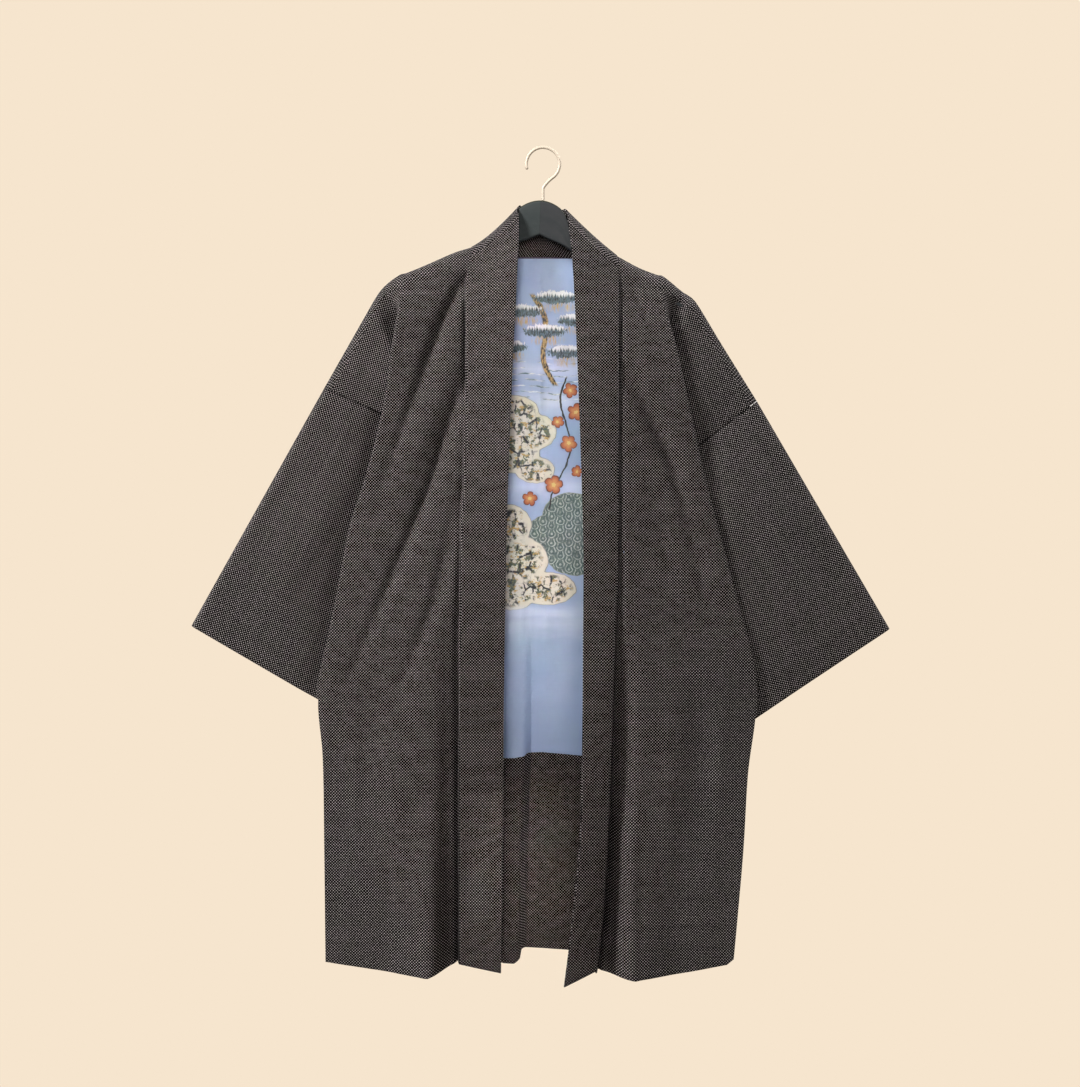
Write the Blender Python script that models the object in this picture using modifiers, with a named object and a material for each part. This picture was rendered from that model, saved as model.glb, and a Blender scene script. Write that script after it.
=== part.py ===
"""A haori jacket that hangs open on a broad-shouldered hanger.

The cloth is modelled as it hangs: each cut piece is an open sheet worked out from the garment's sizes and
given its wall by a Solidify modifier. Sizes are in millimetres. X runs across the garment and is counted
outward from the centre in the tables, -Y is the front, Z is up, and the origin is the point inside the top
of the hook where a rail carries it.
"""

import math

import bmesh
import bpy
from mathutils import Vector

MM = 0.001

# Walls of the cloth, and the gaps that keep neighbouring pieces apart.
CLOTH_WALL = 2.0
COLLAR_WALL = 3.0
LINING_WALL = 1.2
SEAM_GAP = 0.5
LINING_STANDOFF = 3.0
MERGE = 0.00001

# Hook: a wire bent into a question mark above the hanger's neck.
WIRE_RADIUS = 2.0
HOOK_RADIUS = 20.0
HOOK_TIP_ANGLE = 200
HOOK_JOIN_ANGLE = -48
STEM_FOOT_Z = -61.5

# The tuck beside each sleeve: the front and the back fold under it, towards the sleeve's own layer.
TUCK_RADIUS = 2.75
TUCK_ARC_STEPS = 3
TUCK_FLAT_STEPS = 2
TUCK_FLAT_SHARE = 0.6

# Rows of each body panel: shoulder to the foot of the seam that shows, to the underarm, to the level of the
# lining's hem, to the hem.
ROWS_TO_SEAM_FOOT = 7
ROWS_TO_UNDERARM = 5
ROWS_TO_LINING_HEM = 1
ROWS_TO_HEM = 5
LINING_HEM_LEVEL = -740
SHOULDER_CROWDING = 1.2
CREST_STEPS = 4
WEDGE_STEPS = 4
BACK_EDGE_INSET = 1.5

# Heights at which a panel's width is read for its top row, and for the lining's hem.
TOP_LEVEL = -160
LINING_FOOT_LEVEL = -730

# Folds die away near a panel's edges: at its inner edge after a flat strip, at its outer edge, and at its top.
SEAM_FLAT = 2
HOLD_INNER = 9
HOLD_OUTER = 14
HOLD_TOP = 0.04

SHOULDER_RADIUS_NECK = 14
SHOULDER_RADIUS_EDGE = 17

FRONT_ACROSS = (0, 0.018, 0.06, 0.12, 0.21, 0.31, 0.42, 0.53, 0.65, 0.77, 0.88, 0.95, 1)

OUTER_CLOTH = ("outer_cloth", (0.07, 0.055, 0.05), 0.85, 0.0)
LINING = ("lining", (0.36, 0.43, 0.62), 0.5, 0.0)
HANGER = ("hanger", (0.06, 0.066, 0.066), 0.5, 0.0)
HOOK_METAL = ("hook_metal", (0.8, 0.78, 0.74), 0.3, 1.0)


def mix(start, end, share):
    return start + (end - start) * share


def ease(share):
    """0 to 1 with a soft start and end."""
    share = min(1.0, max(0.0, share))
    return share * share * (3 - 2 * share)


class Table:
    """Rows of sizes with named columns, read as smooth curves over the first column."""

    def __init__(self, columns, *rows):
        self.columns = columns.split()
        self.rows = sorted(rows)

    def at(self, column, place):
        index = self.columns.index(column)
        places = [row[0] for row in self.rows]
        values = [row[index] for row in self.rows]
        if place <= places[0]:
            return values[0]
        if place >= places[-1]:
            return values[-1]
        above = next(i for i, stop in enumerate(places) if stop > place)
        below = above - 1
        span = places[above] - places[below]
        share = (place - places[below]) / span

        def slope(i):
            low, high = max(0, i - 1), min(len(places) - 1, i + 1)
            return (values[high] - values[low]) / (places[high] - places[low]) * span

        return (
            values[below] * (2 * share**3 - 3 * share**2 + 1)
            + slope(below) * (share**3 - 2 * share**2 + share)
            + values[above] * (3 * share**2 - 2 * share**3)
            + slope(above) * (share**3 - share**2)
        )


# How far the centre of the back stands behind the hanger's plane, by height.
BACK_CENTRE = Table(
    "z back_y",
    (-985, 52),
    (-850, 48),
    (-656, 43),
    (-520, 39),
    (-400, 35),
    (-300, 31),
    (-200, 26),
    (-131, 22),
)

# Hanger, level, from its centre outward: the tops and bottoms of its arms, and half their depth.
HANGER_ARM = Table(
    "x top bottom half_depth",
    (0, -62, -103, 7),
    (12, -64.5, -108, 7),
    (25, -73, -113, 7),
    (33, -84, -117, 7),
    (44, -98, -124, 7),
    (57, -111.5, -132, 7.5),
    (83, -129.5, -147, 8),
    (110, -141, -159, 9),
    (140, -153, -171, 10.5),
    (163, -165, -180, 11),
    (175, -173, -185, 9),
)
HANGER_TIP_X = 180
HANGER_TILT = math.radians(2.3)


class Side:
    """One half of the garment: its sign along X, its tables and its seams."""

    def __init__(self, name, sign, **sizes):
        self.name = name
        self.sign = sign
        for key, value in sizes.items():
            setattr(self, key, value)


# sheet: by height, where the collar seam, the fold beside the sleeve and the fold under it lie (x), and how
# far the cloth stands in front of the hanger's plane there (y). The back has the same folds.
# ridge: the shoulder line. hems: height of the hem across the panel.
# folds: three places down each fold, its reach towards the centre and outward, and how far it stands
# forward (+) or falls back (-) at those places.
LEFT = Side(
    "left",
    -1,
    sheet=Table(
        "z collar_x edge_x under_x collar_y edge_y under_y",
        (-985, 98, 257.5, 140, 55, 38, 9),
        (-850, 98, 259.5, 140, 52, 32, 9),
        (-727, 98, 262, 140, 49, 26, 9),
        (-656, 97.5, 267.5, 140, 47, 23, 9),
        (-590, 96.5, 254, 140, 45, 24, 9),
        (-520, 96.5, 240, 140, 43, 25, 9),
        (-450, 94, 226, 140, 40, 26, 9),
        (-400, 91, 210, 140, 38, 27, 9),
        (-350, 89.5, 196, 140, 35, 28, 9),
        (-300, 89.2, 185, 146, 33, 29, 9.5),
        (-240, 90, 177, 167, 29, 30, 12),
        (-200, 90, 171, 181, 25, 28, 14.5),
        (-170, 89.4, 166, 187, 20, 19, 15),
        (-130, 85, 162, 190, 14, 17, 15),
    ),
    ridge=Table(
        "x z",
        (84, -118),
        (105.6, -124.8),
        (135.6, -138),
        (163.2, -149.5),
        (171, -151.5),
        (187.2, -163.2),
        (196.8, -174),
        (207.6, -192),
        (261.6, -286.8),
    ),
    front_hem=Table("x z", (98, -968), (136, -984.6), (200, -977), (257.7, -969.2)),
    back_hem=Table("x z", (0, -967), (20, -965.5), (31, -977), (52, -979), (120, -973), (256, -967)),
    front_folds=Table(
        "number x0 z0 x1 z1 x2 z2 reach_in reach_out y0 y1 y2",
        (1, 90, -150, 121, -206, 150, -285, 16, 16, -2, -5, 0),
        (2, 88, -262, 120, -345, 180, -505, 20, 22, -3, -7, 0),
        (3, 139, -790, 137, -900, 136, -990, 36, 62, 0, 9, 15),
        (4, 205, -560, 200, -700, 196, -860, 30, 34, 0, -4, 0),
        (5, 106, -480, 110, -760, 110, -990, 8, 22, 0, -11, -18),
    ),
    back_folds=Table(
        "number x0 z0 x1 z1 x2 z2 reach_in reach_out y0 y1 y2",
        (1, 40, -430, 39, -720, 36, -990, 16, 32, 0, 12, 20),
        (2, 150, -360, 160, -640, 168, -990, 40, 40, 0, -6, -10),
        (3, 98, -250, 112, -520, 118, -880, 30, 34, 0, 4, 0),
    ),
    neck_across=(0, 0.05, 0.08, 0.11, 0.145, 0.19, 0.25, 0.33, 0.42),
    seam_foot_z=-340,
    underarm_z=-657,
    sleeve_tip=(421.2, -572.4),
    cuff_foot_z=-735.5,
    collar=Table(
        "seam_z free_z free_x",
        (-967.5, -979.5, 50.1),
        (-835, -840, 47.8),
        (-682, -682, 46.7),
        (-552, -552, 44.9),
        (-410, -410, 41.5),
        (-268, -262, 36.0),
        (-215, -190, 32.4),
        (-168, -125, 29.8),
        (-131, -83, 29.3),
    ),
    collar_crest=((84, -118), (28.6, -69.8)),
    collar_sag=7,
    collar_turn=(24, 13, -70.5),
)

RIGHT = Side(
    "right",
    1,
    sheet=Table(
        "z collar_x edge_x under_x collar_y edge_y under_y",
        (-985, 61, 224, 140, 58, 39, 9),
        (-908, 69, 231.5, 140, 56, 35, 9),
        (-836, 73.5, 238, 140, 54, 31, 9),
        (-745, 77.8, 244, 140, 51, 26, 9),
        (-670, 80.5, 253.5, 140, 49, 23, 9),
        (-617, 82, 249, 140, 47, 24, 9),
        (-535, 85.5, 227, 140, 44, 25, 9),
        (-456, 87.5, 206, 140, 41, 26, 9),
        (-400, 87.6, 191, 140, 38, 27, 9),
        (-356, 87.9, 181, 140, 36, 28, 9),
        (-310, 88.4, 171, 141, 34, 29, 9.5),
        (-260, 89, 160.5, 147, 31, 30, 11),
        (-215, 89, 150, 159, 27, 28.5, 13.5),
        (-185, 89, 143, 165, 22, 23, 14.5),
        (-160, 89, 137.5, 168, 17, 18, 15),
        (-140, 89.5, 137, 172, 14, 17, 15),
    ),
    ridge=Table(
        "x z",
        (90, -129.6),
        (114, -142.8),
        (136.8, -151.9),
        (143, -153),
        (166.8, -171.6),
        (177.6, -178.8),
        (184.8, -187.2),
        (212.4, -232.8),
        (256, -303),
    ),
    front_hem=Table("x z", (61.6, -976), (107.7, -987.3), (165, -981), (217, -972.5), (225, -966)),
    back_hem=Table("x z", (0, -967), (29, -969), (120, -972), (223, -965)),
    front_folds=Table(
        "number x0 z0 x1 z1 x2 z2 reach_in reach_out y0 y1 y2",
        (1, 92, -160, 105, -190, 121, -226, 13, 13, -2, -4, 0),
        (2, 90, -258, 127, -324, 176, -430, 20, 20, -3, -6, 0),
        (3, 98, -480, 90, -745, 74, -990, 8, 24, 0, -12, -18),
        (4, 96, -750, 103, -850, 108, -990, 26, 60, 0, 9, 14),
        (5, 190, -610, 186, -740, 182, -900, 30, 30, 0, -4, 0),
    ),
    back_folds=Table(
        "number x0 z0 x1 z1 x2 z2 reach_in reach_out y0 y1 y2",
        (1, 120, -330, 138, -620, 146, -990, 40, 40, 0, -7, -10),
        (2, 70, -250, 82, -520, 88, -880, 34, 30, 0, 4, 0),
    ),
    neck_across=(0, 0.1, 0.2, 0.31, 0.44),
    seam_foot_z=-389,
    underarm_z=-679,
    sleeve_tip=(415.2, -576),
    cuff_foot_z=-757.5,
    collar=Table(
        "seam_z free_z free_x",
        (-976, -992.3, 24.6),
        (-935, -948, 30.3),
        (-815, -819, 43.3),
        (-681, -681, 46.5),
        (-600, -600, 47.2),
        (-481, -481, 47.7),
        (-374, -374, 44.9),
        (-300, -292, 42),
        (-232, -215, 39),
        (-180, -130, 34.7),
        (-144, -88, 29.8),
    ),
    collar_crest=((87, -127.6), (29.4, -74)),
    collar_sag=2,
    collar_turn=(24, 13, -71.5),
)

FRONT = -1
BACK = 1


# The cloth of one half of the body.


def relief(folds, x, z):
    """How far the folds push the cloth outward from its even hang at this place."""
    total = 0.0
    for _, x0, z0, x1, z1, x2, z2, reach_in, reach_out, y0, y1, y2 in folds.rows:
        if not z2 <= z <= z0:
            continue
        if z >= z1:
            share = (z0 - z) / (z0 - z1)
            fold_x, height = mix(x0, x1, share), mix(y0, y1, ease(share))
        else:
            share = (z1 - z) / (z1 - z2)
            fold_x, height = mix(x1, x2, share), mix(y1, y2, ease(share))
        away = x - fold_x
        reach = reach_out if away > 0 else reach_in
        if abs(away) < reach:
            total += height * math.cos(0.5 * math.pi * away / reach) ** 2
    return total


def neck_x(side):
    """Where the collar seam meets the shoulder line."""
    return side.sheet.rows[-1][1]


def inner_x(side, face, z):
    return side.sheet.at("collar_x", z) if face == FRONT else SEAM_GAP / 2


def edge_x(side, face, z):
    return side.sheet.at("edge_x", z) - (BACK_EDGE_INSET if face == BACK else 0)


def shoulder_radius(across):
    return mix(SHOULDER_RADIUS_NECK, SHOULDER_RADIUS_EDGE, across)


def top_z(side, face, across):
    """Height of a panel's highest row: the shoulder's foot, or the neck edge on the back."""
    neck = neck_x(side)
    edge = edge_x(side, face, TOP_LEVEL)
    x = mix(neck if face == FRONT else SEAM_GAP / 2, edge, across)
    if face == BACK and x < neck:
        foot = side.ridge.at("z", neck) - shoulder_radius(0)
        return mix(BACK_CENTRE.rows[-1][0], foot, (x / neck) ** 2)
    share = (x - neck) / (edge - neck)
    return side.ridge.at("z", x) - shoulder_radius(share)


def hem_z(side, face, across):
    table = side.front_hem if face == FRONT else side.back_hem
    low, high = table.rows[0][0], table.rows[-1][0]
    return table.at("z", mix(low, high, across))


def sheet_point(side, face, across, down):
    """A point of the front or the back: across from its inner edge to the fold beside the sleeve."""
    inner_z = mix(top_z(side, face, 0), hem_z(side, face, 0), down)
    outer_z = mix(top_z(side, face, 1), hem_z(side, face, 1), down)
    z = mix(top_z(side, face, across), hem_z(side, face, across), down)
    low_x, high_x = inner_x(side, face, inner_z), edge_x(side, face, outer_z)
    x = mix(low_x, high_x, across)
    outer_y = side.sheet.at("edge_y", outer_z)
    if face == FRONT:
        out = mix(side.sheet.at("collar_y", inner_z), outer_y, across)
        hold = ease((x - low_x - SEAM_FLAT) / HOLD_INNER)
        hold *= ease((high_x - x) / HOLD_OUTER) * ease(down / HOLD_TOP)
        out += hold * relief(side.front_folds, x, z)
        return Vector((x, -out, z))
    out = mix(BACK_CENTRE.at("back_y", inner_z), outer_y, across**1.6)
    hold = ease((x - low_x) / HOLD_INNER) * ease((high_x - x) / HOLD_OUTER) * ease(down / HOLD_TOP)
    out -= hold * relief(side.back_folds, x, z)
    return Vector((x, out, z))


def down_at(side, face, z):
    """The share of the way down at which the panel's outer edge is at this height."""
    top, hem = top_z(side, face, 1), hem_z(side, face, 1)
    return (top - z) / (top - hem)


def s_curve(start, end, radius):
    """Points of a fold that runs outward, turns under, and turns outward again.
    Its y counts away from the middle."""
    first = (start[0], start[1] - radius)
    second = (end[0], end[1] + radius)
    step_x, step_y = second[0] - first[0], first[1] - second[1]
    apart = math.hypot(step_x, step_y)
    turn = math.atan2(step_y, step_x) + math.asin(min(1.0, 2 * radius / apart))
    points = []
    for step in range(TUCK_ARC_STEPS + 1):
        angle = turn * step / TUCK_ARC_STEPS
        points.append((first[0] + radius * math.sin(angle), first[1] + radius * math.cos(angle)))
    last = []
    for step in range(TUCK_ARC_STEPS + 1):
        angle = turn * (1 - step / TUCK_ARC_STEPS)
        last.append((second[0] - radius * math.sin(angle), second[1] - radius * math.cos(angle)))
    for step in range(1, TUCK_FLAT_STEPS):
        share = step / TUCK_FLAT_STEPS
        points.append((mix(points[TUCK_ARC_STEPS][0], last[0][0], share),
                       mix(points[TUCK_ARC_STEPS][1], last[0][1], share)))
    return points + last


def seam_ends(side):
    """The sleeve seam's top on the shoulder line, its foot under the front, and the way between them."""
    top = Vector((side.ridge.rows[-1][0], side.ridge.rows[-1][1]))
    foot = Vector((side.sheet.at("under_x", side.seam_foot_z), side.seam_foot_z))
    return top, foot, (foot - top).normalized()


def top_shift(side, face, z):
    """How much of the shoulder's own shape a row still has: all at the top, none at the seam's foot."""
    share = down_at(side, face, z) / down_at(side, face, side.seam_foot_z)
    return max(0.0, 1 - share) ** 2


def tuck_points(side, face, z):
    """The row of the fold beside the sleeve whose outer edge is at this height.
    It starts flat at the shoulder."""
    def curve(height):
        start = sheet_point(side, face, 1, down_at(side, face, height))
        end = (side.sheet.at("under_x", height), side.sheet.at("under_y", height))
        folded = s_curve((start.x, abs(start.y)), end, TUCK_RADIUS)
        share = down_at(side, face, height) / down_at(side, face, side.seam_foot_z)
        flat = max(0.0, 1 - share / TUCK_FLAT_SHARE) ** 2
        row = []
        for index, (x, out) in enumerate(folded):
            along = index / (len(folded) - 1)
            row.append((mix(x, mix(start.x, end[0], along), flat),
                        mix(out, mix(abs(start.y), end[1], along), flat)))
        return row

    top = top_z(side, face, 1)
    shift = top_shift(side, face, z)
    row = []
    for (x, out), (top_x, top_out) in zip(curve(z), curve(top)):
        crest_foot = side.ridge.at("z", top_x) - top_out
        row.append(Vector((x, face * out, z + (crest_foot - top) * shift)))
    row[0].z = sheet_point(side, face, 1, down_at(side, face, z)).z
    return row


def wedge_points(side, face, z):
    """The row of the shoulder's outer part, from the fold under the front to the sleeve seam."""
    seam_top, seam_foot, way = seam_ends(side)
    top = top_z(side, face, 1)
    share = down_at(side, face, z) / down_at(side, face, side.seam_foot_z)
    shift = top_shift(side, face, z)
    seam_y = side.sheet.at("under_y", side.seam_foot_z)

    def flat(height, part, along):
        start = Vector((side.sheet.at("under_x", height), side.sheet.at("under_y", height), height))
        end_xz = (seam_top + way * seam_y).lerp(seam_foot, part)
        end = Vector((end_xz.x, seam_y, end_xz.y))
        return start.lerp(end, along)

    row = []
    for step in range(WEDGE_STEPS + 1):
        along = step / WEDGE_STEPS
        crest_x = mix(side.sheet.at("under_x", top), seam_top.x, along)
        radius = mix(side.sheet.at("under_y", top), seam_y, along)
        fall = Vector((0, -1)).lerp(way, along).normalized() * radius
        crest = Vector((crest_x + fall.x, radius, side.ridge.at("z", crest_x) + fall.y))
        point = flat(z, share, along) + (crest - flat(top, 0, along)) * shift
        row.append(Vector((point.x, face * point.y, point.z)))
    return row


def edge_levels(side, face):
    """Heights of the rows at a panel's outer edge, from the shoulder to the hem."""
    stops = (top_z(side, face, 1), side.seam_foot_z, side.underarm_z, LINING_HEM_LEVEL, hem_z(side, face, 1))
    counts = (ROWS_TO_SEAM_FOOT, ROWS_TO_UNDERARM, ROWS_TO_LINING_HEM, ROWS_TO_HEM)
    levels = [stops[0]]
    for start, end, count in zip(stops, stops[1:], counts):
        crowd = SHOULDER_CROWDING if start == stops[0] else 1
        levels += [mix(start, end, (step / count) ** crowd) for step in range(1, count + 1)]
    return levels


def back_across(side):
    """The back's columns: those under the neck, then one behind each of the front's."""
    edge_front, edge_back = edge_x(side, FRONT, TOP_LEVEL), edge_x(side, BACK, TOP_LEVEL)
    behind = []
    for across in FRONT_ACROSS:
        x = mix(neck_x(side), edge_front, across)
        behind.append((min(x, edge_back) - SEAM_GAP / 2) / (edge_back - SEAM_GAP / 2))
    behind[-1] = 1.0
    return list(side.neck_across), behind


def crest_rows(side, front_row, back_row, crests):
    """The cloth over the shoulder, from the front's highest row to the back's."""
    rows = []
    for step in range(CREST_STEPS + 1):
        angle = math.pi * (step / CREST_STEPS - 0.5)
        share = (1 + math.sin(angle)) / 2
        row = []
        for front, back, crest in zip(front_row, back_row, crests):
            middle = (front + back) / 2
            row.append(front.lerp(back, share) + (crest - middle) * math.cos(angle) * Vector((1, 0, 1)))
        rows.append(row)
    return rows


def body_patches(side):
    """Grids of points that share their edges and together make one half of the body."""
    patches = []
    top_rows = {}
    neck, behind = back_across(side)
    for face, columns in ((FRONT, FRONT_ACROSS), (BACK, neck + behind)):
        levels = edge_levels(side, face)
        main = [
            [sheet_point(side, face, across, down_at(side, face, z)) for across in columns]
            for z in levels
        ]
        tuck = [tuck_points(side, face, z) for z in levels[: ROWS_TO_SEAM_FOOT + ROWS_TO_UNDERARM + 1]]
        wedge = [wedge_points(side, face, z) for z in levels[: ROWS_TO_SEAM_FOOT + 1]]
        patches += [main, tuck, wedge]
        top_rows[face] = main[0][-len(FRONT_ACROSS):] + tuck[0][1:] + wedge[0][1:]
    crests = []
    seam_top = seam_ends(side)[0]
    wedge_start = top_rows[FRONT][-WEDGE_STEPS - 1].x
    for index, point in enumerate(top_rows[FRONT]):
        x = point.x
        along = index - (len(top_rows[FRONT]) - 1 - WEDGE_STEPS)
        if along > 0:
            x = mix(wedge_start, seam_top.x, along / WEDGE_STEPS)
        crests.append(Vector((x, 0, side.ridge.at("z", x))))
    patches.append(crest_rows(side, top_rows[FRONT], top_rows[BACK], crests))
    return patches


# The sleeve, the gore, the collar and what lies inside the back.

SLEEVE_ROWS_OPEN = 7
SLEEVE_ROWS_CLOSED = 2
SLEEVE_FLAT_STEPS = 6
SLEEVE_ARC_STEPS = 4
SLEEVE_CUFF_HALF = 7
SLEEVE_BULGE = 5
SLEEVE_BULGE_SPAN = 0.55


def sleeve_rings(side):
    """Rings round the sleeve from the armhole to the cuff. Each runs from the inner fold up the front,
    over the shoulder line, down the back and round the inner fold."""
    top, foot, way = seam_ends(side)
    tip = Vector(side.sleeve_tip)
    run = (tip - top).normalized()
    top, foot = top + run * SEAM_GAP, foot + Vector((SEAM_GAP, -SEAM_GAP))
    cuff_foot = Vector((foot.x, side.cuff_foot_z))
    closed_from = (foot.y - side.underarm_z + 6) / (foot.y - side.cuff_foot_z)
    alongs = [closed_from * i / SLEEVE_ROWS_OPEN for i in range(SLEEVE_ROWS_OPEN + 1)]
    alongs += [mix(closed_from, 1, i / SLEEVE_ROWS_CLOSED) for i in range(1, SLEEVE_ROWS_CLOSED + 1)]
    rings = []
    for along in alongs:
        high, low = top.lerp(tip, along), foot.lerp(cuff_foot, along)
        fall = (low - high).normalized()
        half = mix(side.sheet.at("under_y", side.seam_foot_z), SLEEVE_CUFF_HALF, along)
        start = high + fall * half
        ring = []
        for step in range(SLEEVE_FLAT_STEPS + 1):
            share = 1 - step / SLEEVE_FLAT_STEPS
            fullness = math.sin(math.pi * min(1, share / SLEEVE_BULGE_SPAN)) ** 2
            swell = SLEEVE_BULGE * math.sin(math.pi * along) * fullness
            place = start.lerp(low, share)
            ring.append(Vector((place.x, -half - swell, place.y)))
        for step in range(1, SLEEVE_ARC_STEPS):
            angle = math.pi * (step / SLEEVE_ARC_STEPS - 0.5)
            place = start - fall * half * math.cos(angle)
            ring.append(Vector((place.x, half * math.sin(angle), place.y)))
        ring += [Vector((point.x, -point.y, point.z)) for point in reversed(ring[: SLEEVE_FLAT_STEPS + 1])]
        for step in range(1, SLEEVE_ARC_STEPS):
            angle = math.pi * (0.5 - step / SLEEVE_ARC_STEPS)
            ring.append(Vector((low.x - half * math.cos(angle), half * math.sin(angle), low.y)))
        ring.append(ring[0].copy())
        rings.append(ring)
    return rings


GORE_ROWS = 6
GORE_STEPS = 6
GORE_TOP_DROP = 34
GORE_HEM_RISE = 2
GORE_TUCK_TOP = 6
GORE_TUCK_HEM = 30


def gore_rows(side):
    """The narrow strip between front and back below the sleeve, folded in between them."""
    rows = []
    hem = max(hem_z(side, FRONT, 1), hem_z(side, BACK, 1)) + GORE_HEM_RISE
    for row in range(GORE_ROWS + 1):
        down = row / GORE_ROWS
        z = mix(side.underarm_z - GORE_TOP_DROP, hem, down)
        reach = side.sheet.at("edge_y", z) - CLOTH_WALL / 2 - SEAM_GAP
        outer_x = side.sheet.at("edge_x", z) - BACK_EDGE_INSET - CLOTH_WALL
        tuck = mix(GORE_TUCK_TOP, GORE_TUCK_HEM, down)
        points = []
        for step in range(GORE_STEPS + 1):
            share = step / GORE_STEPS
            x = outer_x - tuck * math.sin(math.pi * share) ** 2
            points.append(Vector((x, mix(-reach, reach, share), z)))
        rows.append(points)
    return rows


COLLAR_ROWS = 15
COLLAR_ACROSS = 4
COLLAR_TURN_ROWS = 4
COLLAR_STAND = 1.0
COLLAR_TILT = 3.0
COLLAR_TILT_REACH = 60
COLLAR_SAG_REACH = 50
COLLAR_NECK_LIFT = 1.4
COLLAR_NECK_INSET = 5
COLLAR_FREE_CENTRE = (0, 19, -70.5)


def collar_side(side):
    """Rows of the collar band from its hem up the front, over the shoulder and to the centre of the neck."""
    rows = []
    low, high = side.collar.rows[0][0], side.collar.rows[-1][0]

    def across(seam, free, sag=0.0):
        row = []
        for step in range(COLLAR_ACROSS + 1):
            share = step / COLLAR_ACROSS
            point = seam.lerp(free, share)
            point.z -= 4 * sag * share * (1 - share)
            row.append(point)
        return row

    for step in range(COLLAR_ROWS + 1):
        seam_z = mix(low, high, math.sin(0.5 * math.pi * step / COLLAR_ROWS))
        out = side.sheet.at("collar_y", seam_z) + COLLAR_STAND
        tilt = COLLAR_TILT * ease((high - seam_z) / COLLAR_TILT_REACH)
        seam = Vector((side.sheet.at("collar_x", seam_z) - SEAM_GAP, -out, seam_z))
        free = Vector((side.collar.at("free_x", seam_z), -out - tilt, side.collar.at("free_z", seam_z)))
        sag = ease((seam_z - high + COLLAR_SAG_REACH) / COLLAR_SAG_REACH)
        rows.append(across(seam, free, 0.5 * side.collar_sag * sag))
    front_seam, front_free = rows[-1][0], rows[-1][-1]
    turn_seam, turn_free = neck_seam(side, 1), Vector(side.collar_turn)
    crest_seam, crest_free = (Vector((x, 0, z)) for x, z in side.collar_crest)
    for step in range(1, CREST_STEPS + 1):
        angle = math.pi * (step / CREST_STEPS - 0.5)
        share = (1 + math.sin(angle)) / 2
        lift = math.cos(angle) * Vector((1, 0, 1))
        seam = front_seam.lerp(turn_seam, share) + (crest_seam - (front_seam + turn_seam) / 2) * lift
        free = front_free.lerp(turn_free, share) + (crest_free - (front_free + turn_free) / 2) * lift
        rows.append(across(seam, free, side.collar_sag * (0.5 + 0.5 * math.cos(angle)) * (step < CREST_STEPS)))
    free_end = Vector(COLLAR_FREE_CENTRE)
    for step in range(1, COLLAR_TURN_ROWS + 1):
        share = 1 - step / COLLAR_TURN_ROWS
        free = Vector((turn_free.x * share, mix(free_end.y, turn_free.y, share**2),
                       mix(free_end.z, turn_free.z, share**2)))
        rows.append(across(neck_seam(side, share), free))
    return rows


def neck_seam(side, share):
    """The collar's edge above the back's neck edge: 0 at the centre, 1 at the shoulder."""
    reach = (neck_x(side) - COLLAR_NECK_INSET) / edge_x(side, BACK, TOP_LEVEL)
    point = sheet_point(side, BACK, reach * share, 0)
    return Vector((point.x if share else 0, point.y + COLLAR_STAND, point.z + COLLAR_NECK_LIFT))


LINING_HALF_WIDTH = 130.5
LINING_TOP_DROP = 3
LINING_HEM = Table("x z", (-60, -733), (-26, -732), (-20, -727), (0, -726.5), (60, -732))
FACING_HEM_RISE = 2.5


def lining_columns():
    """The back's columns from left to right, as (side, across), within the lining's width."""
    columns = []
    for side in (LEFT, RIGHT):
        neck, behind = back_across(side)
        inside = [
            (side, across)
            for across in neck + behind
            if mix(SEAM_GAP / 2, edge_x(side, BACK, TOP_LEVEL), across) < LINING_HALF_WIDTH
        ]
        columns += reversed(inside) if side is LEFT else inside[1:]
    return columns


def back_place(side, across, z):
    """The point of the back in this column at this height, in the garment's own frame."""
    top, hem = top_z(side, BACK, across), hem_z(side, BACK, across)
    point = sheet_point(side, BACK, across, (top - z) / (top - hem))
    return Vector((point.x * side.sign, point.y, point.z))


def body_row_z(number):
    """The height of one of the body's own rows, as a function of side and column."""
    def height(side, across):
        down = down_at(side, BACK, edge_levels(side, BACK)[number])
        return mix(top_z(side, BACK, across), hem_z(side, BACK, across), down)

    return height


def inside_back(heights):
    """A sheet that lies inside the back: the back's own points, moved in along the cloth's normal."""
    columns = lining_columns()
    grid = [[back_place(side, across, height(side, across)) for side, across in columns] for height in heights]
    moved = []
    for i, row in enumerate(grid):
        above, below = grid[max(0, i - 1)], grid[min(len(grid) - 1, i + 1)]
        line = []
        for j, point in enumerate(row):
            along = row[min(len(row) - 1, j + 1)] - row[max(0, j - 1)]
            normal = (below[j] - above[j]).cross(along).normalized()
            if normal.y > 0:
                normal.negate()
            line.append(point + normal * LINING_STANDOFF)
        moved.append(line)
    return moved


def lining_hem(side, across):
    x = side.sign * mix(SEAM_GAP / 2, edge_x(side, BACK, LINING_FOOT_LEVEL), across)
    return LINING_HEM.at("z", x)


LAST_LINING_ROW = ROWS_TO_SEAM_FOOT + ROWS_TO_UNDERARM
LAST_BODY_ROW = LAST_LINING_ROW + ROWS_TO_LINING_HEM + ROWS_TO_HEM


def lining_rows():
    heights = [lambda side, across: top_z(side, BACK, across) - LINING_TOP_DROP]
    heights += [body_row_z(number) for number in range(1, LAST_LINING_ROW + 1)]
    heights.append(lambda side, across: lining_hem(side, across) + SEAM_GAP)
    return inside_back(heights)


def facing_rows():
    heights = [lambda side, across: lining_hem(side, across) - SEAM_GAP]
    heights += [body_row_z(number) for number in range(LAST_LINING_ROW + 2, LAST_BODY_ROW)]
    heights.append(lambda side, across: hem_z(side, BACK, across) + FACING_HEM_RISE)
    return inside_back(heights)


# Objects.


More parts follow.
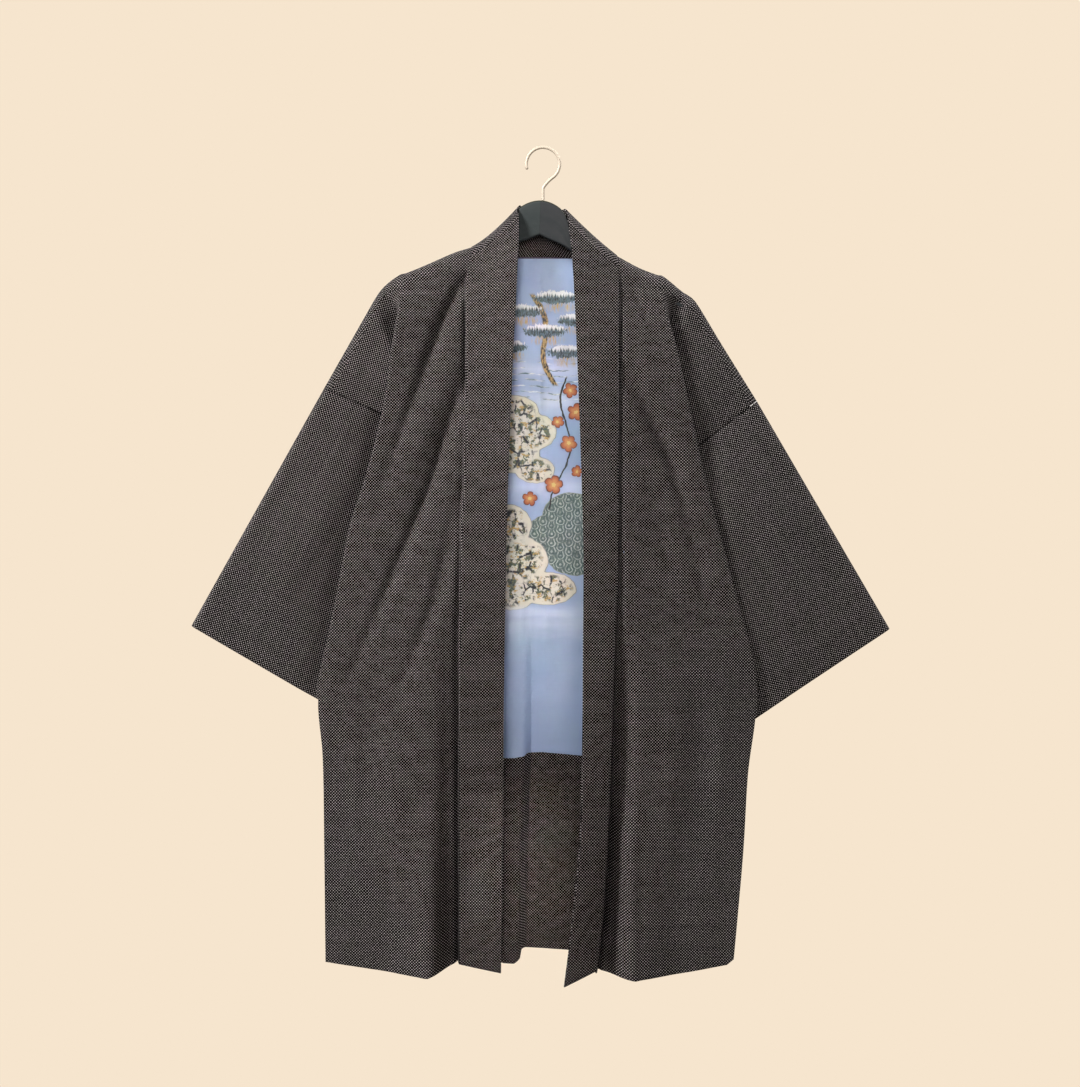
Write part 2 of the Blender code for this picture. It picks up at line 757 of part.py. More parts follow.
def material(spec):
    name, colour, roughness, metallic = spec
    found = bpy.data.materials.get(name)
    if found:
        return found
    made = bpy.data.materials.new(name)
    made.use_nodes = True
    shader = made.node_tree.nodes["Principled BSDF"]
    shader.inputs["Base Color"].default_value = (*colour, 1)
    shader.inputs["Roughness"].default_value = roughness
    shader.inputs["Metallic"].default_value = metallic
    return made


def add_object(name, mesh, spec):
    obj = bpy.data.objects.new(name, mesh)
    mesh.materials.append(material(spec))
    mesh.shade_smooth()
    mesh.set_sharp_from_angle(angle=math.radians(45))
    PIECES.objects.link(obj)
    return obj


def add_sheet(name, patches, wall, spec, sign=1, left_out=None):
    """One piece of cloth: grids of points, merged where they meet, given a wall on both sides.
    left_out(row, column) says which faces of a grid stay open."""
    mesh = bpy.data.meshes.new(name)
    shape = bmesh.new()
    for patch in patches:
        grid = [
            [shape.verts.new((point.x * sign * MM, point.y * MM, point.z * MM)) for point in row]
            for row in patch
        ]
        for i in range(len(grid) - 1):
            for j in range(len(grid[0]) - 1):
                if left_out and left_out(i, j):
                    continue
                shape.faces.new((grid[i][j], grid[i + 1][j], grid[i + 1][j + 1], grid[i][j + 1]))
    bmesh.ops.remove_doubles(shape, verts=shape.verts, dist=MERGE)
    loose = [vert for vert in shape.verts if not vert.link_faces]
    bmesh.ops.delete(shape, geom=loose, context="VERTS")
    bmesh.ops.recalc_face_normals(shape, faces=shape.faces)
    shape.to_mesh(mesh)
    shape.free()
    obj = add_object(name, mesh, spec)
    solidify = obj.modifiers.new("wall", "SOLIDIFY")
    solidify.thickness = wall * MM
    solidify.offset = 0
    return obj


def add_body(side):
    add_sheet(f"body_{side.name}", body_patches(side), CLOTH_WALL, OUTER_CLOTH, side.sign)


def add_sleeve(side):
    rings = sleeve_rings(side)
    armhole_columns = range(len(rings[0]) - 1 - SLEEVE_ARC_STEPS, len(rings[0]) - 1)

    def armhole(row, column):
        return row < SLEEVE_ROWS_OPEN and column in armhole_columns

    add_sheet(f"sleeve_{side.name}", [rings], CLOTH_WALL, OUTER_CLOTH, side.sign, armhole)


def add_collar():
    left = [[Vector((-p.x, p.y, p.z)) for p in row] for row in collar_side(LEFT)]
    right = collar_side(RIGHT)
    add_sheet("collar", [left + right[-2::-1]], COLLAR_WALL, OUTER_CLOTH)


def add_hanger():
    """One moulded bar: rounded sections along both arms, tilted as it hangs."""
    mesh = bpy.data.meshes.new("hanger")
    shape = bmesh.new()
    stations = [row[0] for row in HANGER_ARM.rows] + [HANGER_TIP_X]
    xs = [-x for x in reversed(stations[1:])] + stations
    rings = []
    for x in xs:
        along = abs(x)
        top, bottom = HANGER_ARM.at("top", along), HANGER_ARM.at("bottom", along)
        half = HANGER_ARM.at("half_depth", along)
        if along == HANGER_TIP_X:
            middle = (top + bottom) / 2
            top, bottom, half = mix(middle, top, 0.45), mix(middle, bottom, 0.45), half * 0.5
        shoulder = (top - bottom) * 0.36
        outline = (
            (0, top),
            (0.5, mix(top, top - shoulder, 0.14)),
            (0.87, mix(top, top - shoulder, 0.5)),
            (1, top - shoulder),
            (1, bottom + 3),
            (0.7, bottom),
        )
        ring = [(half * y, z) for y, z in outline]
        ring += [(-y, z) for y, z in reversed(ring[1:])]
        rings.append([shape.verts.new((x * MM, y * MM, z * MM)) for y, z in ring])
    for near, far in zip(rings, rings[1:]):
        for i in range(len(near)):
            j = (i + 1) % len(near)
            shape.faces.new((near[i], near[j], far[j], far[i]))
    shape.faces.new(rings[0])
    shape.faces.new(rings[-1])
    bmesh.ops.recalc_face_normals(shape, faces=shape.faces)
    shape.to_mesh(mesh)
    shape.free()
    hanger = add_object("hanger", mesh, HANGER)
    hanger.rotation_euler.y = HANGER_TILT
    return hanger


def add_hook():
    """The wire, from its foot in the hanger round to its tip."""
    centre_z = WIRE_RADIUS - HOOK_RADIUS
    join = math.radians(HOOK_JOIN_ANGLE)
    bend_end = Vector((HOOK_RADIUS * math.cos(join), centre_z + HOOK_RADIUS * math.sin(join)))
    bend_way = Vector((-math.sin(join), math.cos(join)))
    foot, knee = Vector((0, STEM_FOOT_Z)), Vector((0, -48))
    points = [foot]
    for step in range(7):
        share = step / 6
        first = knee.lerp(knee + Vector((0, 7)), share)
        last = (bend_end - bend_way * 7).lerp(bend_end, share)
        points.append(first.lerp(last, ease(share)))
    arc_steps = 22
    for step in range(1, arc_steps + 1):
        angle = mix(join, math.radians(HOOK_TIP_ANGLE), step / arc_steps)
        points.append(Vector((HOOK_RADIUS * math.cos(angle), centre_z + HOOK_RADIUS * math.sin(angle))))
    curve = bpy.data.curves.new("hook", "CURVE")
    curve.dimensions = "3D"
    curve.bevel_depth = WIRE_RADIUS * MM
    curve.bevel_resolution = 2
    curve.use_fill_caps = True
    spline = curve.splines.new("POLY")
    spline.points.add(len(points) - 1)
    for point, place in zip(spline.points, points):
        point.co = (place.x * MM, 0, place.y * MM, 1)
    hook = bpy.data.objects.new("hook", curve)
    curve.materials.append(material(HOOK_METAL))
    PIECES.objects.link(hook)


for startup_object in list(bpy.data.objects):
    bpy.data.objects.remove(startup_object)
PIECES = bpy.data.collections.new("haori")
bpy.context.scene.collection.children.link(PIECES)

for half in (LEFT, RIGHT):
    add_body(half)
    add_sleeve(half)
    add_sheet(f"gore_{half.name}", [gore_rows(half)], CLOTH_WALL, OUTER_CLOTH, half.sign)
add_collar()
add_sheet("back_lining", [lining_rows()], LINING_WALL, LINING)
add_sheet("back_facing", [facing_rows()], LINING_WALL, OUTER_CLOTH)
add_hanger()
add_hook()
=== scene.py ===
"""Looks of the haori jacket on its hanger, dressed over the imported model.

The cloth pieces are worked out from the garment's own sizes, as the solids are, at a finer spacing and with
their creases, edges and weave. Sizes are in millimetres until a mesh is made. X runs across the garment and
is counted outward from the centre in the tables, -Y is the front, Z is up.
"""

import math

import bmesh
import bpy
import numpy as np
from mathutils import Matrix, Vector


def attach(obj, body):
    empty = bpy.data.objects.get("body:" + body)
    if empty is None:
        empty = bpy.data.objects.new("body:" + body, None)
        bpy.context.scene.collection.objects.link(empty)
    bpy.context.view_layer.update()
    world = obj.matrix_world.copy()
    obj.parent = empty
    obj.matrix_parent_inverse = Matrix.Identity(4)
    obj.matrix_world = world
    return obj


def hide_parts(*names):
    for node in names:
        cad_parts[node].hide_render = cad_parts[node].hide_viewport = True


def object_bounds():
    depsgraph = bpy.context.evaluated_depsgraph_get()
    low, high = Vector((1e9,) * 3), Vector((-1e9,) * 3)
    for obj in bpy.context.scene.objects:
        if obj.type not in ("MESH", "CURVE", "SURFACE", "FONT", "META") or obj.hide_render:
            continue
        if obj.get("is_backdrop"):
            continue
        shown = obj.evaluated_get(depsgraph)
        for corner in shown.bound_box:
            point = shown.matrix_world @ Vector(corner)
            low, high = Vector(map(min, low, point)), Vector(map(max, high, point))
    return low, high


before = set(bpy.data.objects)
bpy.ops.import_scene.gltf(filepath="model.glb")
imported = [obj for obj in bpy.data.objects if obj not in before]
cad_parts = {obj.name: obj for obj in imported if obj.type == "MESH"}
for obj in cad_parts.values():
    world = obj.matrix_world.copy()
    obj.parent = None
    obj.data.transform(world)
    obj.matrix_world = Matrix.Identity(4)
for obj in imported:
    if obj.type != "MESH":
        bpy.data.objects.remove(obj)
CAD_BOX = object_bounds()

MM = 0.001
FRONT = -1
BACK = 1

# Walls of the cloth as it shows.
CLOTH_WALL = 1.5
COLLAR_WALL = 2.6
LINING_WALL = 0.8
EDGE_ROUNDING = 0.45
WELD = 0.00001
SHARP_ANGLE = math.radians(50)
EDGE_ANGLE = math.radians(60)

# How much finer than the solids each direction is divided.
FINE_ACROSS = 4
FINE_DOWN = 7

TUCK_RADIUS = 2.75
TUCK_ARC_STEPS = 7
TUCK_FLAT_STEPS = 10
TUCK_FLAT_SHARE = 0.3
ROW_COUNTS = (7, 5, 1, 5)
LINING_HEM_LEVEL = -740
SHOULDER_CROWDING = 1.2
CREST_STEPS = 14
WEDGE_STEPS = 20
WEDGE_PUFF = 7
HOLLOW_REACH = 16
RISE_REACH = 55
RISE_DEPTH = 8
BACK_EDGE_INSET = 1.5
BACK_ROUNDING = 1.6
NECK_LEVEL = -131
CREST_DROP = (14, 17)
SEAM_FLAT = 0.7
HOLD_INNER = 2.5
HOLD_OUTER = 14
HOLD_TOP = 0.04
CREASE_FLAT = 0.7
CREASE_HOLD = 2.5
SEAM_GAP = 0.5
CENTRE_SEAM_X = 0.06
WIDTH_LEVEL = -160
CREST_LENGTH = 44
WEDGE_CREST = (-80, 0)
FRONT_ACROSS = (0, 0.018, 0.06, 0.12, 0.21, 0.31, 0.42, 0.53, 0.65, 0.77, 0.88, 0.95, 1)


def mix(start, end, share):
    return start + (end - start) * share


def ease(share):
    share = np.clip(share, 0.0, 1.0)
    return share * share * (3 - 2 * share)


def stack(*parts):
    return np.stack(np.broadcast_arrays(*parts), axis=-1).astype(float)


def unit(vectors):
    return vectors / np.linalg.norm(vectors, axis=-1, keepdims=True)


class Table:
    """Rows of sizes with named columns, read as smooth curves over the first column."""

    def __init__(self, columns, *rows):
        self.columns = columns.split()
        self.rows = np.array(sorted(rows), float)

    def straight(self, column, place):
        """Straight lines between the rows, where the shape has corners."""
        return np.interp(place, self.rows[:, 0], self.rows[:, self.columns.index(column)])

    def at(self, column, place):
        places, values = self.rows[:, 0], self.rows[:, self.columns.index(column)]
        place = np.clip(place, places[0], places[-1])
        below = np.clip(np.searchsorted(places, place, side="right") - 1, 0, len(places) - 2)
        above = below + 1
        span = places[above] - places[below]
        share = (place - places[below]) / span
        low, high = np.maximum(0, below - 1), np.minimum(len(places) - 1, below + 1)
        slope_below = (values[high] - values[low]) / (places[high] - places[low]) * span
        low, high = np.maximum(0, above - 1), np.minimum(len(places) - 1, above + 1)
        slope_above = (values[high] - values[low]) / (places[high] - places[low]) * span
        return (
            values[below] * (2 * share**3 - 3 * share**2 + 1)
            + slope_below * (share**3 - 2 * share**2 + share)
            + values[above] * (3 * share**2 - 2 * share**3)
            + slope_above * (share**3 - share**2)
        )


BACK_CENTRE = Table(
    "z back_y",
    (-985, 52), (-850, 48), (-656, 43), (-520, 39), (-400, 35), (-300, 31), (-200, 26), (-131, 22),
)

HANGER_ARM = Table(
    "x top bottom half_depth",
    (0, -62, -103, 7), (12, -64.5, -108, 7), (25, -73, -113, 7), (33, -84, -117, 7), (44, -98, -124, 7),
    (57, -111.5, -132, 7.5), (83, -129.5, -147, 8), (110, -141, -159, 9), (140, -153, -171, 10.5),
    (163, -165, -180, 11), (175, -173, -185, 9),
)


class Side:
    """One half of the garment: its sign along X, its tables and its seams."""

    def __init__(self, name, sign, **sizes):
        self.name = name
        self.sign = sign
        for key, value in sizes.items():
            setattr(self, key, value)


# A fold's row: the x and z of three points down its line, how far it reaches inward and outward from there,
# and how far it pushes the cloth outward at the three points. The front's creases lie on top of its folds.
LEFT = Side(
    "left",
    -1,
    sheet=Table(
        "z collar_x edge_x under_x collar_y edge_y under_y",
        (-985, 98, 257.5, 140, 55, 38, 9),
        (-850, 98, 259.5, 140, 52, 32, 9),
        (-727, 98, 262, 140, 49, 26, 9),
        (-656, 97.5, 267.5, 140, 47, 23, 9),
        (-590, 96.5, 254, 140, 45, 24, 9),
        (-520, 96.5, 240, 140, 43, 25, 9),
        (-450, 94, 226, 140, 40, 26, 9),
        (-400, 91, 210, 140, 38, 27, 9),
        (-350, 89.5, 196, 140, 35, 28, 9),
        (-300, 89.2, 185, 146, 33, 29, 8.5),
        (-240, 90, 177, 161, 29, 30, 7.5),
        (-200, 90, 171, 170, 25, 28, 8),
        (-170, 89.4, 166, 185, 20, 20, 12),
        (-130, 85, 162, 190, 14, 17, 15),
    ),
    ridge=Table(
        "x z",
        (84, -118), (105.6, -124.8), (135.6, -138), (163.2, -149.5), (171, -151.5), (187.2, -163.2),
        (196.8, -174), (207.6, -192), (261.6, -286.8),
    ),
    front_hem=Table("x z", (98, -968), (136, -984.6), (200, -977), (257.7, -969.2)),
    back_hem=Table(
        "x z",
        (0, -967), (27.5, -965.6), (29.2, -975.5), (34.6, -980.2), (52, -980.2), (120, -974), (256, -967),
    ),
    front_folds=(
        (90, -150, 121, -206, 150, -285, 16, 16, -2, -5, 0),
        (88, -262, 120, -345, 180, -505, 20, 22, -3, -7, 0),
        (139, -790, 137, -900, 136, -990, 36, 62, 0, 9, 15),
        (205, -560, 200, -700, 196, -860, 30, 34, 0, -4, 0),
        (106, -480, 110, -760, 110, -990, 8, 22, 0, -11, -18),
    ),
    front_creases=(
        (92, -150, 134, -250, 203, -440, 12, 14, -3.5, -6.5, -1),
        (100, -226, 124, -290, 168, -400, 12, 12, 0, 1.6, 0),
        (92, -272, 131, -400, 232, -640, 12, 13, -2, -9, -3),
        (96, -404, 128, -546, 195, -704, 13, 16, -3, -6, 0),
        (150, -440, 172, -520, 214, -620, 14, 14, 0, 1.6, 0),
        (92.5, -140, 92.5, -240, 93, -330, 4, 6, -2, -6, -1.5),
        (101, -560, 101.5, -760, 101.5, -990, 4, 8, -7, -7, -7),
        (99, -560, 99, -770, 98.5, -990, 5, 20, 0, -4, -4),
        (142, -770, 138, -880, 137, -990, 16, 12, 0, 1.6, 2),
        (96, -480, 98.5, -760, 98.5, -990, 4, 11, 0, -17, -26),
        (94, -330, 97.5, -470, 100, -560, 4, 7, -1.5, -4, -7),
        (228, -640, 222, -760, 215, -900, 12, 16, 0, 1.6, 0),
        (176, -700, 170, -820, 166, -960, 14, 12, 0, 1.3, 0),
        (104, -300, 112, -372, 140, -450, 8, 10, 0, 1.4, 0),
        (160, -188, 168, -240, 172, -300, 8, 7, 0, -1.5, 0),
    ),
    back_folds=(
        (21, -500, 25, -735, 33, -990, 10, 60, 0, 12, 20),
        (27, -705, 30, -775, 33, -990, 13, 70, 0, 15, 15),
        (150, -360, 160, -640, 168, -990, 40, 40, 0, -6, -10),
        (98, -250, 112, -520, 118, -880, 30, 34, 0, 4, 0),
        (30, -150, 64, -230, 104, -330, 12, 14, 0, -2.2, 0),
        (60, -160, 98, -230, 146, -320, 12, 14, 0, 1.8, 0),
        (70, -300, 104, -420, 150, -560, 13, 16, 0, -2.6, 0),
        (190, -430, 196, -600, 200, -800, 14, 14, 0, 2.2, 0),
        (84, -600, 80, -780, 76, -960, 12, 12, 0, -2, -1),
        (222, -560, 216, -720, 210, -930, 12, 14, 0, -1.8, 0),
        (10, -300, 12, -500, 14, -760, 8, 12, 0, 1.4, 0),
        (50, -690, 53, -800, 55, -990, 8, 26, -3, -12, -14),
    ),
    neck_across=(
        0, 0.04, 0.062, 0.074, 0.086, 0.097, 0.107, 0.114, 0.123, 0.14, 0.17, 0.19, 0.22, 0.33, 0.42,
    ),
    seam_foot_z=-340,
    underarm_z=-657,
    sleeve_tip=(421.2, -572.4),
    cuff_foot_z=-735.5,
    collar=Table(
        "seam_z free_z free_x",
        (-969, -982, 50.1), (-835, -840, 47.8), (-682, -682, 46.7), (-552, -552, 44.9), (-410, -410, 41.5),
        (-268, -262, 36.0), (-215, -190, 32.4), (-168, -125, 29.8), (-131, -83, 29.3),
    ),
    collar_crest=((84, -118), (28.6, -69.8)),
    collar_sag=7,
    collar_turn=(24, 13, -70.5),
    collar_creases=(
        (-548, -6, 0.7), (-614, 5, 0.9), (-622, -14, 0.5), (-706, -8, 0.6), (-838, 9, 0.8), (-905, -6, 0.5),
    ),
    phases=(0.4, 2.1, 4.0, 1.3, 5.2),
    pocket_ridge=((199, -199), (176, -256)),
    pocket_depth=6,
    pocket_rim=4,
    hollow_depth={FRONT: 6.5, BACK: 3},
    collar_tilt=((-992, -15), (-760, -11), (-560, -4), (-400, 6), (-200, 7)),
)

RIGHT = Side(
    "right",
    1,
    sheet=Table(
        "z collar_x edge_x under_x collar_y edge_y under_y",
        (-985, 61, 224, 140, 58, 39, 9),
        (-908, 69, 231.5, 140, 56, 35, 9),
        (-836, 73.5, 238, 140, 54, 31, 9),
        (-745, 77.8, 244, 140, 51, 26, 9),
        (-670, 80.5, 253.5, 140, 49, 23, 9),
        (-617, 82, 249, 140, 47, 24, 9),
        (-535, 85.5, 227, 140, 44, 25, 9),
        (-456, 87.5, 206, 140, 41, 26, 9),
        (-400, 87.6, 191, 140, 38, 27, 9),
        (-356, 87.9, 181, 140, 36, 28, 9),
        (-310, 88.4, 171, 141, 34, 29, 9.5),
        (-260, 89, 160.5, 144, 31, 30, 10),
        (-215, 89, 150, 149, 27, 28.5, 10),
        (-185, 89, 143, 156, 22, 23, 12),
        (-160, 89, 137.5, 168, 17, 18, 15),
        (-140, 89.5, 137, 172, 14, 17, 15),
    ),
    ridge=Table(
        "x z",
        (90, -129.6), (114, -142.8), (136.8, -151.9), (143, -153), (166.8, -171.6), (177.6, -178.8),
        (184.8, -187.2), (212.4, -232.8), (256, -303),
    ),
    front_hem=Table("x z", (61.6, -979), (107.7, -987.3), (165, -981), (217, -972.5), (225, -966)),
    back_hem=Table("x z", (0, -967), (29, -969), (120, -972), (223, -965)),
    front_folds=(
        (92, -160, 105, -190, 121, -226, 13, 13, -2, -4, 0),
        (90, -258, 127, -324, 176, -430, 20, 20, -3, -6, 0),
        (98, -480, 90, -745, 74, -990, 8, 24, 0, -12, -18),
        (96, -750, 103, -850, 108, -990, 26, 60, 0, 9, 14),
        (190, -610, 186, -740, 182, -900, 30, 30, 0, -4, 0),
    ),
    front_creases=(
        (96, -150, 118, -192, 146, -255, 9, 10, -3, -5.5, 0),
        (106, -266, 152, -368, 194, -545, 14, 16, -2, -5, -2),
        (112, -370, 138, -450, 166, -590, 11, 13, 0, -1.8, 0),
        (98, -300, 116, -350, 146, -420, 9, 9, 0, 1.6, 0),
        (106, -760, 106, -870, 108, -990, 13, 7, 0, 2.2, 2.8),
        (152, -620, 150, -760, 148, -930, 12, 16, 0, 1.6, 0),
        (214, -600, 208, -740, 200, -900, 12, 14, 0, 1.5, 0),
        (120, -180, 134, -230, 142, -290, 7, 7, 0, 1.4, 0),
        (91, -158, 91, -330, 90, -480, 4, 7, -3, -4.5, -6),
        (92, -480, 83, -745, 67, -990, 6, 9, -7, -7, -7),
        (88, -540, 82, -750, 66, -990, 8, 24, 0, -7, -9),
        (87, -480, 80.5, -745, 75.5, -840, 4, 10, 0, -17, -22),
        (75.5, -840.01, 70.5, -915, 62.5, -992, 4, 10, -22, -24, -25),
    ),
    back_folds=(
        (120, -330, 138, -620, 146, -990, 40, 40, 0, -7, -10),
        (70, -250, 82, -520, 88, -880, 34, 30, 0, 4, 0),
        (34, -156, 66, -232, 100, -320, 12, 14, 0, -2, 0),
        (62, -170, 92, -240, 128, -330, 12, 12, 0, 1.8, 0),
        (60, -320, 96, -430, 140, -590, 14, 16, 0, -2.6, 0),
        (180, -440, 190, -610, 192, -820, 14, 14, 0, 2, 0),
        (50, -620, 52, -780, 50, -950, 12, 14, 0, -2, -1),
        (16, -420, 14, -600, 12, -800, 10, 12, 0, 1.2, 0),
        (206, -620, 200, -760, 196, -930, 12, 12, 0, -1.6, 0),
    ),
    neck_across=(0, 0.1, 0.2, 0.31, 0.44),
    seam_foot_z=-389,
    underarm_z=-679,
    sleeve_tip=(415.2, -576),
    cuff_foot_z=-757.5,
    collar=Table(
        "seam_z free_z free_x",
        (-976, -992.3, 24.6), (-935, -948, 30.3), (-815, -819, 43.3), (-681, -681, 46.5),
        (-600, -600, 47.2), (-481, -481, 47.7), (-374, -374, 44.9), (-300, -292, 42), (-232, -215, 39),
        (-180, -130, 34.7), (-144, -88, 29.8),
    ),
    collar_crest=((87, -127.6), (29.6, -77)),
    collar_sag=2,
    collar_turn=(24, 13, -71.5),
    collar_creases=((-470, 7, 0.6), (-585, -5, 0.8), (-690, 10, 0.6), (-765, -7, 0.7), (-880, 5, 0.8)),
    phases=(3.3, 0.9, 1.7, 5.5, 2.6),
    pocket_ridge=((184, -175), (156, -232)),
    pocket_depth=6,
    pocket_rim=0.5,
    hollow_depth={BACK: 3},
    collar_tilt=((-992, 17), (-860, 18), (-700, 13), (-400, 7), (-200, 3)),
)


# The cloth of one half of the body.


def relief(folds, x, z):
    """How far the folds push the cloth outward from its even hang at these places."""
    total = np.zeros(np.broadcast(x, z).shape)
    for x0, z0, x1, z1, x2, z2, reach_in, reach_out, y0, y1, y2 in folds:
        upper = z >= z1
        share = np.where(upper, (z0 - z) / (z0 - z1), (z1 - z) / (z1 - z2))
        fold_x = np.where(upper, mix(x0, x1, share), mix(x1, x2, share))
        height = np.where(upper, mix(y0, y1, ease(share)), mix(y1, y2, ease(share)))
        away = x - fold_x
        reach = np.where(away > 0, reach_out, reach_in)
        inside = (z <= z0) & (z >= z2) & (np.abs(away) < reach)
        total += np.where(inside, height * np.cos(0.5 * np.pi * away / reach) ** 2, 0)
    return total


def ripple(side, face, x, z):
    """The cloth's slight unevenness between its folds."""
    a, b, c, d, e = (phase + face for phase in side.phases)
    return (
        0.45 * np.sin(x / 17 + z / 90 + a)
        + 0.35 * np.sin(x / 9.5 - z / 140 + b)
        + 0.4 * np.sin(x / 30 + z / 38 + c) * np.sin(z / 61 + d)
        + 0.18 * np.sin(x / 6.1 + z / 33 + e)
    )


def neck_x(side):
    return side.sheet.rows[-1][1]


def inner_x(side, face, z):
    return side.sheet.at("collar_x", z) if face == FRONT else CENTRE_SEAM_X


def edge_x(side, face, z):
    return side.sheet.at("edge_x", z) - (BACK_EDGE_INSET if face == BACK else 0)


def top_z(side, face, across):
    """Height of a panel's highest row: the shoulder's foot, or the neck edge on the back."""
    neck = neck_x(side)
    edge = edge_x(side, face, WIDTH_LEVEL)
    x = mix(neck if face == FRONT else SEAM_GAP / 2, edge, across)
    share = (x - neck) / (edge - neck)
    shoulder = side.ridge.at("z", x) - mix(*CREST_DROP, share)
    if face == FRONT:
        return shoulder
    foot = side.ridge.at("z", neck) - CREST_DROP[0]
    return np.where(x < neck, mix(NECK_LEVEL, foot, (x / neck) ** 2), shoulder)


def hem_z(side, face, across):
    table = side.front_hem if face == FRONT else side.back_hem
    return table.straight("z", mix(table.rows[0][0], table.rows[-1][0], across))


def sheet_point(side, face, across, down):
    """Points of the front or the back: across from its inner edge to the fold beside the sleeve."""
    inner_z, outer_z, z = (mix(top_z(side, face, at), hem_z(side, face, at), down) for at in (0, 1, across))
    low_x, high_x = inner_x(side, face, inner_z), edge_x(side, face, outer_z)
    x = mix(low_x, high_x, across)
    outer_y = side.sheet.at("edge_y", outer_z)
    held = ease((high_x - x) / HOLD_OUTER) * ease(down / HOLD_TOP)
    hold = ease((x - low_x) / HOLD_INNER) * held
    if face == BACK:
        out = mix(BACK_CENTRE.at("back_y", inner_z), outer_y, across**BACK_ROUNDING)
        return stack(x, out - hold * (relief(side.back_folds, x, z) + ripple(side, face, x, z)), z)
    out = mix(side.sheet.at("collar_y", inner_z), outer_y, across)
    out = out + hold * ease((x - low_x - SEAM_FLAT) / HOLD_INNER) * relief(side.front_folds, x, z)
    free = ease((x - low_x - CREASE_FLAT) / CREASE_HOLD) * held
    return stack(x, -out - free * (relief(side.front_creases, x, z) + ripple(side, face, x, z)), z)


def down_at(side, face, z):
    top, hem = top_z(side, face, 1), hem_z(side, face, 1)
    return (top - z) / (top - hem)


def s_curve(start, end, radius):
    """Rows of points of a fold that runs outward, turns under, and turns outward again."""
    first = start - (0, radius)
    second = end + (0, radius)
    step_x, step_y = second[:, 0] - first[:, 0], first[:, 1] - second[:, 1]
    apart = np.hypot(step_x, step_y)
    turn = (np.arctan2(step_y, step_x) + np.arcsin(np.minimum(1.0, 2 * radius / apart)))[:, None]
    angle = turn * np.linspace(0, 1, TUCK_ARC_STEPS + 1)
    opening = first[:, None] + radius * stack(np.sin(angle), np.cos(angle))
    angle = angle[:, ::-1]
    closing = second[:, None] - radius * stack(np.sin(angle), np.cos(angle))
    shares = np.linspace(0, 1, TUCK_FLAT_STEPS + 1)[1:-1, None]
    flat = mix(opening[:, -1:], closing[:, :1], shares)
    return np.concatenate((opening, flat, closing), axis=1)


def seam_ends(side):
    """The sleeve seam's top on the shoulder line, its foot under the front, and the way between them."""
    top = side.ridge.rows[-1].copy()
    foot = np.array((side.sheet.at("under_x", side.seam_foot_z), side.seam_foot_z))
    return top, foot, unit(foot - top)


def top_shift(side, face, z):
    share = down_at(side, face, z) / down_at(side, face, side.seam_foot_z)
    return np.maximum(0.0, 1 - share) ** 2


def tuck_points(side, face, z):
    """Rows of the fold beside the sleeve. It starts flat at the shoulder."""

    def curve(height):
        start = sheet_point(side, face, 1.0, down_at(side, face, height))
        start = stack(start[:, 0], np.abs(start[:, 1]))
        end = stack(side.sheet.at("under_x", height), side.sheet.at("under_y", height))
        folded = s_curve(start, end, TUCK_RADIUS)
        share = down_at(side, face, height) / down_at(side, face, side.seam_foot_z)
        flat = (np.maximum(0.0, 1 - share / TUCK_FLAT_SHARE) ** 2)[:, None, None]
        along = np.linspace(0, 1, folded.shape[1])[None, :, None]
        return mix(folded, mix(start[:, None], end[:, None], along), flat)

    top = top_z(side, face, 1.0)
    shift = top_shift(side, face, z)[:, None]
    top_row = curve(np.array([top]))[0]
    crest_foot = side.ridge.at("z", top_row[:, 0]) - top_row[:, 1]
    rows = curve(z)
    points = stack(rows[..., 0], face * rows[..., 1], z[:, None] + (crest_foot - top) * shift)
    if face == FRONT:
        points[..., 1] += pocket(side, points[..., 0], points[..., 2]) * np.linspace(0, 1, points.shape[1])
    points[:, 0, 2] = sheet_point(side, face, 1.0, down_at(side, face, z))[:, 2]
    return points


def wedge_points(side, face, z):
    """Rows of the shoulder's outer part, from the fold under the front to the sleeve seam."""
    seam_top, seam_foot, way = seam_ends(side)
    top = top_z(side, face, 1.0)
    share = down_at(side, face, z) / down_at(side, face, side.seam_foot_z)
    seam_y = side.sheet.at("under_y", side.seam_foot_z)
    along = np.linspace(0, 1, WEDGE_STEPS + 1)[:, None]

    def flat(height, part):
        start = stack(side.sheet.at("under_x", height), side.sheet.at("under_y", height), height)
        end_xz = mix(seam_top + way * seam_y, seam_foot, part[:, None])
        end = stack(end_xz[:, 0], seam_y, end_xz[:, 1])
        return mix(start[:, None], end[:, None], along)

    crest_x = mix(side.sheet.at("under_x", top), seam_top[0], along[:, 0])
    radius = mix(side.sheet.at("under_y", top), seam_y, along[:, 0])
    fall = unit(mix(np.array((0.0, -1.0)), way, along)) * radius[:, None]
    crest = stack(crest_x + fall[:, 0], radius, side.ridge.at("z", crest_x) + fall[:, 1])
    lift = crest - flat(np.array([top]), np.zeros(1))[0]
    points = flat(z, share) + lift * top_shift(side, face, z)[:, None, None]
    puff = np.sin(np.pi * along[:, 0] ** 1.1) ** 2 * np.sin(np.pi * share[:, None])
    points[..., 1] += WEDGE_PUFF * puff
    if face == FRONT:
        points[..., 1] -= pocket(side, points[..., 0], points[..., 2])
    points[..., 1] *= face
    return points


# The pocket's fade above and below its ridge's ends: how far past the end it starts, and over what height.
POCKET_FADE_TOP = (6, 22)
POCKET_FADE_FOOT = (12, 24)
POCKET_REACH = 9
POCKET_RIM_REACH = 7


